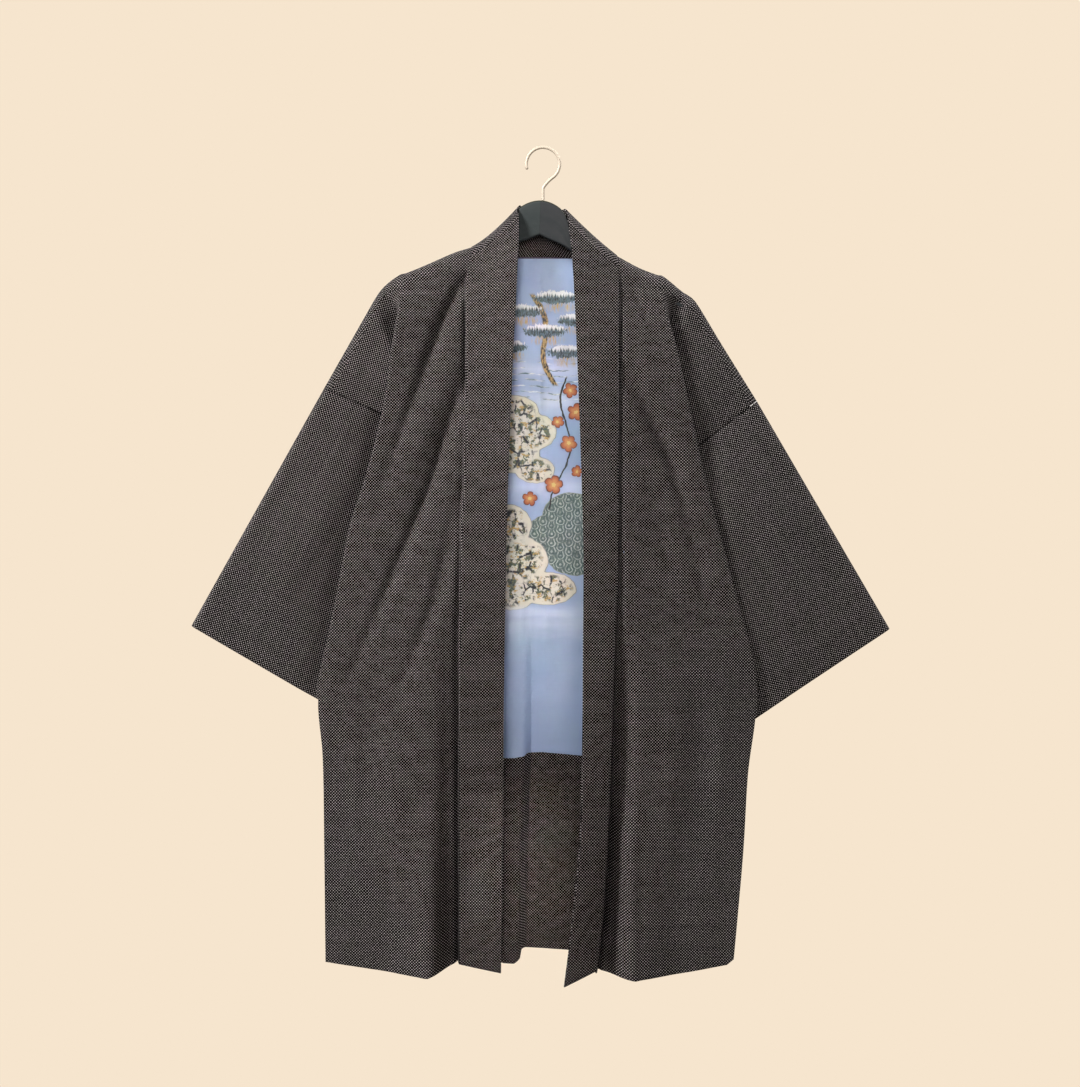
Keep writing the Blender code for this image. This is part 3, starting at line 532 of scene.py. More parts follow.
def pocket(side, x, z):
    """How far the cloth under the shoulder sinks between a short ridge and the fold of the front."""
    (x0, z0), (x1, z1) = side.pocket_ridge
    inward = mix(x0, x1, (z0 - z) / (z0 - z1)) - x
    (past_top, top_height), (past_foot, foot_height) = POCKET_FADE_TOP, POCKET_FADE_FOOT
    fade = ease((z0 + past_top - z) / top_height) * ease((z - z1 + past_foot) / foot_height)
    rim = side.pocket_rim * np.exp(-((inward / POCKET_RIM_REACH) ** 2))
    return fade * (side.pocket_depth * ease(inward / POCKET_REACH) - rim)


def hollow(side, face, x, z):
    """How far the sleeve beside the fold of the front or back sinks inward, or rises if less than 0."""
    away = x - side.sheet.at("edge_x", z)
    if face == FRONT and side is RIGHT:
        return -RISE_DEPTH * np.where(away > 0, np.exp(-away / RISE_REACH), ease(1 + away / RISE_REACH))
    return side.hollow_depth[face] * np.exp(-((away / HOLLOW_REACH) ** 2))


def edge_levels(side, face):
    top, hem = top_z(side, face, 1.0), hem_z(side, face, 1.0)
    stops = (top, side.seam_foot_z, side.underarm_z, LINING_HEM_LEVEL, hem)
    levels = [np.array([stops[0]])]
    for start, end, count in zip(stops, stops[1:], ROW_COUNTS):
        crowd = SHOULDER_CROWDING if start == stops[0] else 1
        shares = np.arange(1, count * FINE_DOWN + 1) / (count * FINE_DOWN)
        levels.append(mix(start, end, shares**crowd))
    return np.concatenate(levels)


def finer(stops, times):
    """The same stops with each gap divided."""
    places = np.arange((len(stops) - 1) * times + 1) / times
    return np.interp(places, np.arange(len(stops)), stops)


def back_across(side):
    """The back's columns: those under the neck, then one behind each of the front's."""
    edge_front, edge_back = edge_x(side, FRONT, WIDTH_LEVEL), edge_x(side, BACK, WIDTH_LEVEL)
    x = mix(neck_x(side), edge_front, finer(FRONT_ACROSS, FINE_ACROSS))
    behind = (np.minimum(x, edge_back) - SEAM_GAP / 2) / (edge_back - SEAM_GAP / 2)
    behind[-1] = 1.0
    neck = finer(side.neck_across + (behind[0],), FINE_ACROSS)[:-1]
    return neck, behind


def over_crest(start, crest, end, angle):
    """Points on the way from start to end over a crest, at angles from -90 to 90 degrees."""
    lift = (crest - (start + end) / 2) * np.cos(angle) * (1, 0, 1)
    return mix(start, end, (1 + np.sin(angle)) / 2) + lift


def crest_rows(side, front_row, back_row, crest_x):
    """The cloth over the shoulder, from the front's highest row to the back's."""
    crests = stack(crest_x, 0 * crest_x, side.ridge.at("z", crest_x))
    angle = np.pi * (np.linspace(0, 1, CREST_STEPS + 1) - 0.5)[:, None, None]
    return over_crest(front_row, crests, back_row, angle)


def run_length(points, axis):
    """Distance along the grid's lines from their first point."""
    steps = np.linalg.norm(np.diff(points, axis=axis), axis=-1)
    start = np.zeros_like(np.take(steps, [0], axis=axis))
    return np.concatenate((start, np.cumsum(steps, axis=axis)), axis=axis)


class Patch:
    """A grid of points with its weave coordinates, and which of its faces are kept."""

    def __init__(self, points, weave, keep=None):
        self.points, self.weave = points, weave
        rows, columns = points.shape[:2]
        self.keep = np.ones((rows - 1, columns - 1), bool) if keep is None else keep


def sleeve_grain(side, points, face):
    """Weave coordinates that turn with the sleeve: along it, and round it from the shoulder line."""
    top, foot, way = seam_ends(side)
    run = unit(np.array(side.sleeve_tip) - top)
    square = np.array((run[1], -run[0])) * np.sign(run[1] * way[0] - run[0] * way[1])
    flat = points[..., [0, 2]] - top
    return stack(flat @ run, -face * (flat @ square))


def body_patches(side):
    """Grids that share their edges and together make one half of the body."""
    patches, top_rows = [], {}
    neck, behind = back_across(side)
    tucked = (ROW_COUNTS[0] + ROW_COUNTS[1]) * FINE_DOWN + 1
    wedged = ROW_COUNTS[0] * FINE_DOWN + 1
    for face in (FRONT, BACK):
        columns = finer(FRONT_ACROSS, FINE_ACROSS) if face == FRONT else np.concatenate((neck, behind))
        levels = edge_levels(side, face)
        down = down_at(side, face, levels)[:, None]
        main = sheet_point(side, face, columns[None, :], down)
        across, along = main[..., 0], face * main[..., 2]
        patches.append(Patch(main, stack(across, along)))
        tuck = tuck_points(side, face, levels[:tucked])
        tuck_across = run_length(tuck, 1) + across[:tucked, -1:]
        patches.append(Patch(tuck, stack(tuck_across, along[:tucked, -1:])))
        wedge = wedge_points(side, face, levels[:wedged])
        patches.append(Patch(wedge, sleeve_grain(side, wedge, face)))
        over = len(FRONT_ACROSS) * FINE_ACROSS - FINE_ACROSS + 1
        top_rows[face] = main[0, -over:], tuck[0], wedge[0]
    seam_top = seam_ends(side)[0]
    for part, front_row, back_row in zip(("panel", "tuck", "wedge"), top_rows[FRONT], top_rows[BACK]):
        crest_x = front_row[:, 0]
        if part == "wedge":
            crest_x = np.linspace(crest_x[0], seam_top[0], len(crest_x))
        rows = crest_rows(side, front_row, back_row, crest_x)
        across = np.broadcast_to(crest_x, rows.shape[:2])
        along = -front_row[:, 2] - CREST_LENGTH * np.linspace(0, 1, len(rows))[:, None]
        if part == "wedge":
            across = np.linspace(*WEDGE_CREST, len(crest_x))[None, :]
        patches.append(Patch(rows, stack(across, along)))
    return patches


SLEEVE_ROWS = (7, 2)
SLEEVE_FLAT_STEPS = 44
SLEEVE_ARC_STEPS = 12
SLEEVE_FINE = 8
SLEEVE_CUFF_HALF = 7
SLEEVE_BULGE = 5
SLEEVE_LAP = 2.4
SLEEVE_FOOT_LAP = (0.48, 1.92)
SLEEVE_LAP_DROP = 1.7
SLEEVE_SEAM_STOPS = (0, 0.004, 0.008, 0.013, 0.019)
SLEEVE_OPEN_FROM = 0.03
SLEEVE_OPEN_DROP = 6
SLEEVE_LAP_REACH = 0.009
SLEEVE_RISE_REACH = 0.15
SLEEVE_BULGE_REACH = 0.55


def sleeve_patch(side):
    """Rings round the sleeve from the armhole to the cuff, open at the armhole below the seam."""
    top, foot, way = seam_ends(side)
    tip = np.array(side.sleeve_tip)
    run = unit(tip - top)
    top, foot = top - run * SLEEVE_LAP, foot + SLEEVE_FOOT_LAP
    cuff_foot = np.array((foot[0], side.cuff_foot_z))
    closed_from = (foot[1] - side.underarm_z + SLEEVE_OPEN_DROP) / (foot[1] - side.cuff_foot_z)
    open_rows = SLEEVE_ROWS[0] * SLEEVE_FINE
    alongs = np.concatenate((
        SLEEVE_SEAM_STOPS,
        np.linspace(SLEEVE_OPEN_FROM, closed_from, open_rows + 1 - len(SLEEVE_SEAM_STOPS)),
        np.linspace(closed_from, 1, SLEEVE_ROWS[1] * SLEEVE_FINE + 1)[1:],
    ))[:, None]
    high, low = mix(top, tip, alongs), mix(foot, cuff_foot, alongs)
    fall = unit(low - high)
    half = mix(side.sheet.at("under_y", side.seam_foot_z), SLEEVE_CUFF_HALF, alongs)
    half = half - SLEEVE_LAP_DROP * (1 - ease(alongs / SLEEVE_LAP_REACH))
    start = high + fall * half
    width = np.linalg.norm(low - start, axis=1, keepdims=True)

    share = np.linspace(1, 0, SLEEVE_FLAT_STEPS + 1)[None, :]
    place = mix(start[:, None], low[:, None], share[..., None])
    fallen = np.minimum(1, share / SLEEVE_BULGE_REACH)
    swell = SLEEVE_BULGE * np.sin(np.pi * alongs) * np.sin(np.pi * fallen) ** 2
    sides = []
    for face in (FRONT, BACK):
        sunk = hollow(side, face, place[..., 0], place[..., 1]) * np.minimum(1, 4 * share * (1 - share))
        sunk = np.where(sunk < 0, sunk * ease(alongs / SLEEVE_RISE_REACH), sunk)
        sides.append(face * (half + swell - sunk + sleeve_dents(side, face, alongs, share, width)))
    front = stack(place[..., 0], sides[0], place[..., 1])
    back = stack(place[..., 0], sides[1], place[..., 1])[:, ::-1]
    angle = np.pi * (np.linspace(0, 1, SLEEVE_ARC_STEPS + 1)[1:-1] - 0.5)[None, :]
    over_xz = start[:, None] - fall[:, None] * (half * np.cos(angle))[..., None]
    over = stack(over_xz[..., 0], half * np.sin(angle), over_xz[..., 1])
    under = stack(low[:, :1] - half * np.cos(angle), half * np.sin(-angle), low[:, 1:])
    ring = np.concatenate((front, over, back, under, front[:, :1]), axis=1)
    around = run_length(ring, 1)
    crest = SLEEVE_FLAT_STEPS + SLEEVE_ARC_STEPS / 2
    middle = (around[:, int(crest)] + around[:, int(crest + 0.5)]) / 2
    lengths = np.linalg.norm(tip - top) * alongs
    weave = stack(lengths, middle[:, None] - around)
    keep = np.ones((len(alongs) - 1, ring.shape[1] - 1), bool)
    keep[:open_rows, -SLEEVE_ARC_STEPS:] = False
    return Patch(ring, weave, keep)


CUFF_LINE = 0.9
CUFF_LINE_REACH = 0.012
CUFF_RISE = 0.5
SEAM_DENT_REACH = 0.013
SEAM_DENT = 1.2
PUCKER_REACH = 0.05
PUCKER_DEPTH = 0.35
WAVE_DEPTH = 0.7
WAVE_FADE = 0.1
CREASE_FADE = 0.15
QUIET_TOP = 0.08
QUIET_FOOT = 0.06


def sleeve_dents(side, face, along, share, width):
    """Creases of a sleeve face, along its length (0 seam, 1 cuff) and down its fall (0 shoulder, 1 foot)."""
    total = np.zeros(np.broadcast(along, share).shape)
    for centre, slant, reach, depth, first, last in side.sleeve_creases:
        line = (share - centre - slant * (along - 0.5)) * width
        fade = ease((along - first) / CREASE_FADE) * ease((last - along) / CREASE_FADE)
        total += depth * fade * np.exp(-((line / reach) ** 2))
    cuff = np.exp(-(((along - CUFF_LINE) / CUFF_LINE_REACH) ** 2))
    seam = np.exp(-((along / SEAM_DENT_REACH) ** 2))
    puckers = np.sin(share * 37 + side.phases[0] + face) * np.exp(-((along / PUCKER_REACH) ** 2))
    wave = np.sin(share * 7 + along * 5 + side.phases[1]) * np.sin(along * 9 + side.phases[2])
    quiet = ease(share / QUIET_TOP) * ease((1 - share) / QUIET_FOOT)
    total = total + CUFF_RISE * cuff - SEAM_DENT * seam + PUCKER_DEPTH * puckers
    return (total + WAVE_DEPTH * wave * ease(along / WAVE_FADE)) * quiet


# centre, slant, reach, depth, first, last
LEFT.sleeve_creases = (
    (0.22, 0.1, 9, -1.2, 0.05, 0.6),
    (0.55, 0.25, 14, 1.6, 0.1, 0.95),
    (0.75, 0.3, 10, -1.5, 0.15, 0.9),
    (0.4, -0.15, 8, -0.9, 0.35, 0.85),
)
RIGHT.sleeve_creases = (
    (0.3, 0.2, 10, -1.3, 0.03, 0.5),
    (0.5, 0.3, 14, 1.7, 0.1, 0.95),
    (0.72, 0.2, 10, -1.4, 0.1, 0.85),
    (0.2, -0.1, 8, -0.8, 0.4, 0.9),
)

GORE_ROWS = 44
GORE_STEPS = 26
GORE_TOP_DROP = 34
GORE_HEM_RISE = 2
GORE_TUCK_TOP = 6
GORE_TUCK_HEM = 30
GORE_DEPTH_GAP = 1.2
GORE_INSET = 1.6
GORE_WAVE = 0.8


def gore_patch(side):
    """The narrow strip between front and back below the sleeve, folded in between them."""
    hem = max(hem_z(side, FRONT, 1.0), hem_z(side, BACK, 1.0)) + GORE_HEM_RISE
    down = np.linspace(0, 1, GORE_ROWS + 1)[:, None]
    share = np.linspace(0, 1, GORE_STEPS + 1)[None, :]
    z = mix(side.underarm_z - GORE_TOP_DROP, hem, down)
    reach = side.sheet.at("edge_y", z) - GORE_DEPTH_GAP
    outer_x = side.sheet.at("edge_x", z) - BACK_EDGE_INSET - GORE_INSET
    tuck = mix(GORE_TUCK_TOP, GORE_TUCK_HEM, down) * np.sin(np.pi * share) ** 2
    wave = GORE_WAVE * np.sin(down * 9 + share * 4 + side.phases[3]) * np.sin(np.pi * share)
    points = stack(outer_x - tuck + wave, mix(-reach, reach, share), z)
    return Patch(points, stack(run_length(points, 1), z))


COLLAR_ROWS = 110
COLLAR_ACROSS = 22
COLLAR_CREST_ROWS = 18
COLLAR_TURN_ROWS = 16
COLLAR_STAND = 1.5
COLLAR_NECK_LIFT = 0.4
COLLAR_NECK_INSET = 5
COLLAR_FREE_CENTRE = (0, 19, -70.5)
COLLAR_LAP = 0.9
COLLAR_CREASE_REACH = 2.6
COLLAR_TILT_FADE = 60
COLLAR_SAG_FADE = 50
COLLAR_SWELL_FADE = 40


def collar_side(side):
    """Rows of the collar band from its hem up the front, over the shoulder and to the centre of the neck."""
    rows = []
    low, high = side.collar.rows[0][0], side.collar.rows[-1][0]
    share = np.linspace(0, 1, COLLAR_ACROSS + 1)

    def across(seam, free, sag=0.0):
        row = mix(np.asarray(seam, float), np.asarray(free, float), share[:, None])
        row[:, 2] -= 4 * sag * share * (1 - share)
        return row

    for step in range(COLLAR_ROWS + 1):
        seam_z = mix(low, high, math.sin(0.5 * math.pi * step / COLLAR_ROWS))
        out = side.sheet.at("collar_y", seam_z) + COLLAR_STAND
        levels, tilts = zip(*side.collar_tilt)
        tilt = np.interp(seam_z, levels, tilts) * ease((high - seam_z) / COLLAR_TILT_FADE)
        seam = (side.sheet.at("collar_x", seam_z) + COLLAR_LAP, -out, seam_z)
        free = (side.collar.at("free_x", seam_z), -out - tilt, side.collar.at("free_z", seam_z))
        sagging = ease((seam_z - high + COLLAR_SAG_FADE) / COLLAR_SAG_FADE)
        row = across(seam, free, 0.5 * side.collar_sag * sagging)
        row[:, 1] -= collar_swell(side, share, seam_z) * ease((high - seam_z) / COLLAR_SWELL_FADE)
        rows.append(row)
    front_seam, front_free = rows[-1][0], rows[-1][-1]
    turn_seam, turn_free = neck_seam(side, 1), np.array(side.collar_turn)
    crest_seam, crest_free = (np.array((x, 0, z)) for x, z in side.collar_crest)
    for step in range(1, COLLAR_CREST_ROWS + 1):
        angle = math.pi * (step / COLLAR_CREST_ROWS - 0.5)
        seam = over_crest(front_seam, crest_seam, turn_seam, angle)
        free = over_crest(front_free, crest_free, turn_free, angle)
        sagging = (0.5 + 0.5 * math.cos(angle)) * (0.5 - 0.5 * math.sin(angle))
        rows.append(across(seam, free, side.collar_sag * sagging))
    centre_y, centre_z = COLLAR_FREE_CENTRE[1:]
    for step in range(1, COLLAR_TURN_ROWS + 1):
        part = 1 - step / COLLAR_TURN_ROWS
        bend = part**2
        free = (turn_free[0] * part, mix(centre_y, turn_free[1], bend), mix(centre_z, turn_free[2], bend))
        rows.append(across(neck_seam(side, part), free))
    return np.array(rows)


def collar_swell(side, share, z):
    """The folded band is a little full across its width, with a few slight bends down its length."""
    a, b, c = side.phases[:3]
    bends = 0.5 * math.sin(z / 47 + a) + 0.35 * math.sin(z / 23 + b)
    swell = np.sin(np.pi * share) * (0.9 + 0.5 * bends) + 0.25 * np.sin(share * 5 + z / 31 + c)
    for level, slant, depth in side.collar_creases:
        line = (z - level - slant * share) / COLLAR_CREASE_REACH
        swell = swell - depth * np.exp(-(line**2)) * np.sin(np.pi * share) ** 0.5
    return swell


def neck_seam(side, share):
    """The collar's edge above the back's neck edge: 0 at the centre, 1 at the shoulder."""
    reach = (neck_x(side) - COLLAR_NECK_INSET) / edge_x(side, BACK, WIDTH_LEVEL)
    point = sheet_point(side, BACK, np.array(reach * share), np.array(0.0))
    return np.array((point[0] if share else 0, point[1] + COLLAR_STAND, point[2] + COLLAR_NECK_LIFT))


def collar_patches():
    """The band in front on either side, its rows of weave level, and round the neck, along its sewn edge."""
    left, right = collar_side(LEFT) * (-1, 1, 1), collar_side(RIGHT)
    fronts = [Patch(rows[: COLLAR_ROWS + 1], rows[: COLLAR_ROWS + 1, :, [0, 2]]) for rows in (left, right)]
    neck = np.concatenate((left[COLLAR_ROWS:], right[-2 : COLLAR_ROWS - 1 : -1]))
    return fronts + [Patch(neck, stack(run_length(neck, 1), run_length(neck[:, :1], 0)))]


LINING_HALF_WIDTH = 130.5
LINING_STANDOFF = 2.2
LINING_TOP_RISE = 3.6
LINING_ROWS = 130
LINING_HEM = Table("x z", (-60, -733), (-34, -733), (-25, -731), (-22, -727), (0, -726.5), (60, -732))
LINING_HEM_LAP = 0.6
LINING_FOOT_LEVEL = -730
LINING_NECK_INSET = 10
LINING_TOP_BLEND = 8
FACING_STANDOFF = 1.3
FACING_ROWS = 60
FACING_LAP = 6
FACING_HEM_RISE = 1.2


def back_place(side, across, z):
    """Points of the back in these columns at these heights, in the garment's own frame."""
    top, hem = top_z(side, BACK, across), hem_z(side, BACK, across)
    points = sheet_point(side, BACK, across, (top - z) / (top - hem))
    return points * (side.sign, 1, 1)


def inside_back(high, low, rows, standoff):
    """A sheet inside the back, between two heights given by side, column and place."""
    halves = []
    for side in (LEFT, RIGHT):
        neck, behind = back_across(side)
        columns = np.concatenate((neck, behind))
        x = mix(SEAM_GAP / 2, edge_x(side, BACK, WIDTH_LEVEL), columns)
        columns = columns[x < LINING_HALF_WIDTH]
        share = np.linspace(0, 1, rows + 1)[:, None]
        heights = mix(high(side, columns), low(side, columns), share)
        grid = back_place(side, columns[None, :], heights)
        halves.append(grid[:, ::-1] if side is LEFT else grid[:, 1:])
    grid = np.concatenate(halves, axis=1)
    normal = unit(np.cross(np.gradient(grid, axis=0), np.gradient(grid, axis=1)))
    normal *= -np.sign(normal[..., 1:2])
    return grid + normal * standoff


def lining_hem(side, across):
    x = mix(SEAM_GAP / 2, edge_x(side, BACK, LINING_FOOT_LEVEL), across)
    return LINING_HEM.straight("z", side.sign * x)


def lining_top(side, across):
    """The lining rises behind the collar, and ends at the shoulder beside it."""
    x = mix(SEAM_GAP / 2, edge_x(side, BACK, WIDTH_LEVEL), across)
    risen = ease((neck_x(side) - LINING_NECK_INSET - x) / LINING_TOP_BLEND)
    return top_z(side, BACK, across) + LINING_TOP_RISE * risen


def lining_patch():
    def low(side, across):
        return lining_hem(side, across) - LINING_HEM_LAP

    grid = inside_back(lining_top, low, LINING_ROWS, LINING_STANDOFF)
    return Patch(grid, grid[..., [0, 2]])


def facing_patch():
    def high(side, across):
        return lining_hem(side, across) + FACING_LAP

    def low(side, across):
        return hem_z(side, BACK, across) + FACING_HEM_RISE

    grid = inside_back(high, low, FACING_ROWS, FACING_STANDOFF)
    return Patch(grid, grid[..., [0, 2]])


HANGER_TILT = math.radians(2.3)
HANGER_TIP_X = 180
HANGER_STEP = 3
HANGER_ARCH_REACH = 21
HANGER_ARCH_BLEND = 14
HANGER_ARCH = 0.0150
HANGER_BAR_FROM = 28
HANGER_BAR_TURN = 16
HANGER_TIP_ROUND = 9
HANGER_TIP_SIZE = 0.4
# A section from its top down to its foot: share of the way down, and share of the half depth there, in the
# bar's middle and along its arms.
HANGER_SECTION = (
    (0, 0, 0), (0.004, 0.45, 0.25), (0.015, 0.75, 0.42), (0.035, 0.92, 0.56), (0.06, 0.98, 0.66),
    (0.1, 1, 0.76), (0.18, 1, 0.87), (0.36, 1, 1), (0.95, 1, 1), (0.98, 0.98, 0.9), (1, 0.9, 0.7),
)


def hanger_patch():
    """Sections of the moulded bar from tip to tip, with a smooth arch at the neck."""
    count = int(HANGER_TIP_X / HANGER_STEP)
    rings, marks = [], []
    for x in np.linspace(-HANGER_TIP_X, HANGER_TIP_X, 2 * count + 1):
        along = abs(x)
        top, bottom = HANGER_ARM.at("top", along), HANGER_ARM.at("bottom", along)
        arch = HANGER_ARM.rows[0][1] - HANGER_ARCH * along**2
        top = mix(arch, top, ease((along - HANGER_ARCH_REACH) / HANGER_ARCH_BLEND))
        past = max(0.0, 1 - (HANGER_TIP_X - along) / HANGER_TIP_ROUND)
        size = mix(HANGER_TIP_SIZE, 1, math.sqrt(1 - past**2))
        middle = (top + bottom) / 2
        top, bottom = mix(middle, top, size), mix(middle, bottom, size)
        half = HANGER_ARM.at("half_depth", along) * size
        shape = ease((along - HANGER_BAR_FROM) / HANGER_BAR_TURN)
        front = []
        for down, flat, arm in HANGER_SECTION:
            front.append((-half * mix(flat, arm, shape), mix(top, bottom, down)))
        ring = front + [(-y, z) for y, z in reversed(front[1:])] + front[:1]
        rings.append([(x, y, z) for y, z in ring])
        marks.append([(x, z - top) for _, z in ring])
    grid = np.array(rings)
    turn, lean = math.cos(HANGER_TILT), math.sin(HANGER_TILT)
    x, y, z = np.moveaxis(grid, -1, 0)
    return Patch(stack(x * turn + z * lean, y, z * turn - x * lean), np.array(marks))


WIRE_RADIUS = 1.9
HOOK_RADIUS = 20.0
HOOK_TOP_Z = 2
HOOK_TIP_ANGLE = 200
HOOK_JOIN_ANGLE = -48
HOOK_KNEE_Z = -48
HOOK_SWAY = 7
STEM_FOOT_Z = -61.5
STEM_STEPS = 4
SWAY_STEPS = 24
BEND_STEPS = 72
WIRE_SIDES = 16
WIRE_TIP_SHARE = 0.01


def hook_line():
    """The wire's middle line: up the stem, over to the bend, and round it to the tip."""
    centre_z = HOOK_TOP_Z - HOOK_RADIUS
    join = math.radians(HOOK_JOIN_ANGLE)
    bend_end = np.array((HOOK_RADIUS * math.cos(join), centre_z + HOOK_RADIUS * math.sin(join)))
    bend_way = np.array((-math.sin(join), math.cos(join)))
    foot, knee = np.array((0.0, STEM_FOOT_Z)), np.array((0.0, HOOK_KNEE_Z))
    stem = mix(foot, knee, np.linspace(0, 1, STEM_STEPS + 1)[:-1, None])
    share = np.linspace(0, 1, SWAY_STEPS + 1)[:, None]
    rising = mix(knee, knee + (0, HOOK_SWAY), share)
    arriving = mix(bend_end - bend_way * HOOK_SWAY, bend_end, share)
    sway = mix(rising, arriving, ease(share))
    angle = np.linspace(join, math.radians(HOOK_TIP_ANGLE), BEND_STEPS + 1)[1:]
    bend = stack(HOOK_RADIUS * np.cos(angle), centre_z + HOOK_RADIUS * np.sin(angle))
    return np.concatenate((stem, sway, bend))


def hook_patch():
    """Rings round the wire, closing to a rounded tip."""
    line = hook_line()
    way = unit(np.gradient(line, axis=0))
    run = run_length(line[:, None], 0)[:, 0]
    blunt = np.clip(1 - (run[-1] - run) / WIRE_RADIUS, 0, 1)
    radius = WIRE_RADIUS * np.sqrt(np.clip(1 - blunt**2, WIRE_TIP_SHARE, 1))
    angle = np.linspace(0, 2 * np.pi, WIRE_SIDES + 1)[None, :]
    sideways, deep = radius[:, None] * np.cos(angle), radius[:, None] * np.sin(angle)
    grid = stack(line[:, :1] + sideways * way[:, 1:], deep, line[:, 1:] - sideways * way[:, :1])
    return Patch(grid, stack(angle * WIRE_RADIUS, run[:, None]))


STITCH_ROW = 2
STITCH_STARTS = (1.5, 7.3, 13.1)
STITCH_LENGTH = 4.3
STITCH_STEPS = 4
STITCH_LINE_POINTS = 16
STITCH_RADIUS = 0.36
STITCH_LIFT = 1.15


def stitch_lines(side):
    """Short tacking stitches that lie on the cloth at the outer end of the sleeve seam."""
    ring = sleeve_patch(side).points[STITCH_ROW]
    first = SLEEVE_FLAT_STEPS + SLEEVE_ARC_STEPS // 2
    line = ring[first : first - STITCH_LINE_POINTS : -1]
    out = unit(line - ring[first - SLEEVE_ARC_STEPS // 2] * (1, 0, 1))
    line = line + out * STITCH_LIFT
    run = run_length(line[:, None], 0)[:, 0]
    for start in STITCH_STARTS:
        places = start + STITCH_LENGTH * np.linspace(0, 1, STITCH_STEPS + 1)
        points = stack(*(np.interp(places, run, line[:, axis]) for axis in range(3)))
        yield points * (side.sign, 1, 1)


# Meshes.


def add_stitches(name, side, material):
    """White thread, as one curve with a bevel."""
    data = bpy.data.curves.new(name, "CURVE")
    data.dimensions = "3D"
    data.bevel_depth = STITCH_RADIUS * MM
    data.bevel_resolution = 3
    data.use_fill_caps = True
    for points in stitch_lines(side):
        spline = data.splines.new("POLY")
        spline.points.add(len(points) - 1)
        for point, place in zip(spline.points, points * MM):
            point.co = (*place, 1)
    data.materials.append(material)
    return finish_object(bpy.data.objects.new(name, data), None)


def welded(name, patches, sign=1):
    """One mesh of several grids with weave coordinates in metres, and its shape, welded where they meet."""
    points, quads, weave, start = [], [], [], 0
    for patch in patches:
        rows, columns = patch.points.shape[:2]
        index = np.arange(rows * columns).reshape(rows, columns)
        corners = stack(index[:-1, :-1], index[1:, :-1], index[1:, 1:], index[:-1, 1:])
        quad = corners.astype(int)[patch.keep]
        points.append(patch.points.reshape(-1, 3) * (sign, 1, 1) * MM)
        weave.append(patch.weave.reshape(-1, 2)[quad].reshape(-1, 2) * (sign, 1) * MM)
        quads.append(quad + start)
        start += rows * columns
    mesh = bpy.data.meshes.new(name)
    mesh.from_pydata(np.concatenate(points).tolist(), [], np.concatenate(quads).tolist())
    layer = mesh.uv_layers.new(name="weave")
    layer.data.foreach_set("uv", np.concatenate(weave).astype(np.float32).ravel())
    shape = bmesh.new()
    shape.from_mesh(mesh)
    bmesh.ops.remove_doubles(shape, verts=shape.verts, dist=WELD)
    bmesh.ops.delete(shape, geom=[v for v in shape.verts if not v.link_faces], context="VERTS")
    return mesh, shape


def finish_object(obj, node):
    bpy.context.scene.collection.objects.link(obj)
    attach(obj, "root")
    if node:
        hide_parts(node)
    return obj


def add_sheet(name, node, patches, wall, materials, sign=1, out=(0, -1, 0)):
    """A thin shell of cloth that stands for its CAD node. out is a way in which its face side looks."""
    mesh, shape = welded(name, patches, sign)
    bmesh.ops.recalc_face_normals(shape, faces=shape.faces)
    outward = Vector(out)
    furthest = max(shape.faces, key=lambda face: face.calc_center_median().dot(outward))
    if furthest.normal.dot(outward) < 0:
        bmesh.ops.reverse_faces(shape, faces=shape.faces)
    shape.to_mesh(mesh)
    shape.free()
    mesh.shade_smooth()
    for material in materials:
        mesh.materials.append(material)
    obj = bpy.data.objects.new(name, mesh)
    solidify = obj.modifiers.new("wall", "SOLIDIFY")
    solidify.thickness = wall * MM
    solidify.offset = 0
    if len(materials) > 1:
        solidify.material_offset = 1
    bevel = obj.modifiers.new("edges", "BEVEL")
    bevel.width = EDGE_ROUNDING * MM
    bevel.segments = 2
    bevel.limit_method = "ANGLE"
    bevel.angle_limit = EDGE_ANGLE
    return finish_object(obj, node)


def add_solid(name, node, patch, material):
    """A closed body of one grid of rings, with its ends filled."""
    mesh, shape = welded(name, [patch])
    bmesh.ops.holes_fill(shape, edges=[edge for edge in shape.edges if edge.is_boundary])
    bmesh.ops.recalc_face_normals(shape, faces=shape.faces)
    for edge in shape.edges:
        edge.smooth = edge.calc_face_angle(0) < SHARP_ANGLE
    for face in shape.faces:
        face.smooth = True
    shape.to_mesh(mesh)
    shape.free()
    mesh.materials.append(material)
    return finish_object(bpy.data.objects.new(name, mesh), node)


# Materials.


class Value:
    """A number that a material works out at each place. Sums with it add the nodes."""

    def __init__(self, nodes, socket):
        self.nodes, self.socket = nodes, socket

    def __add__(self, other):
        return self.nodes.math("ADD", self, other)

    def __sub__(self, other):
        return self.nodes.math("SUBTRACT", self, other)

    def __rsub__(self, other):
        return self.nodes.math("SUBTRACT", other, self)

    def __mul__(self, other):
        return self.nodes.math("MULTIPLY", self, other)

    def __truediv__(self, other):
        return self.nodes.math("DIVIDE", self, other)

    def __abs__(self):
        return self.nodes.math("ABSOLUTE", self)


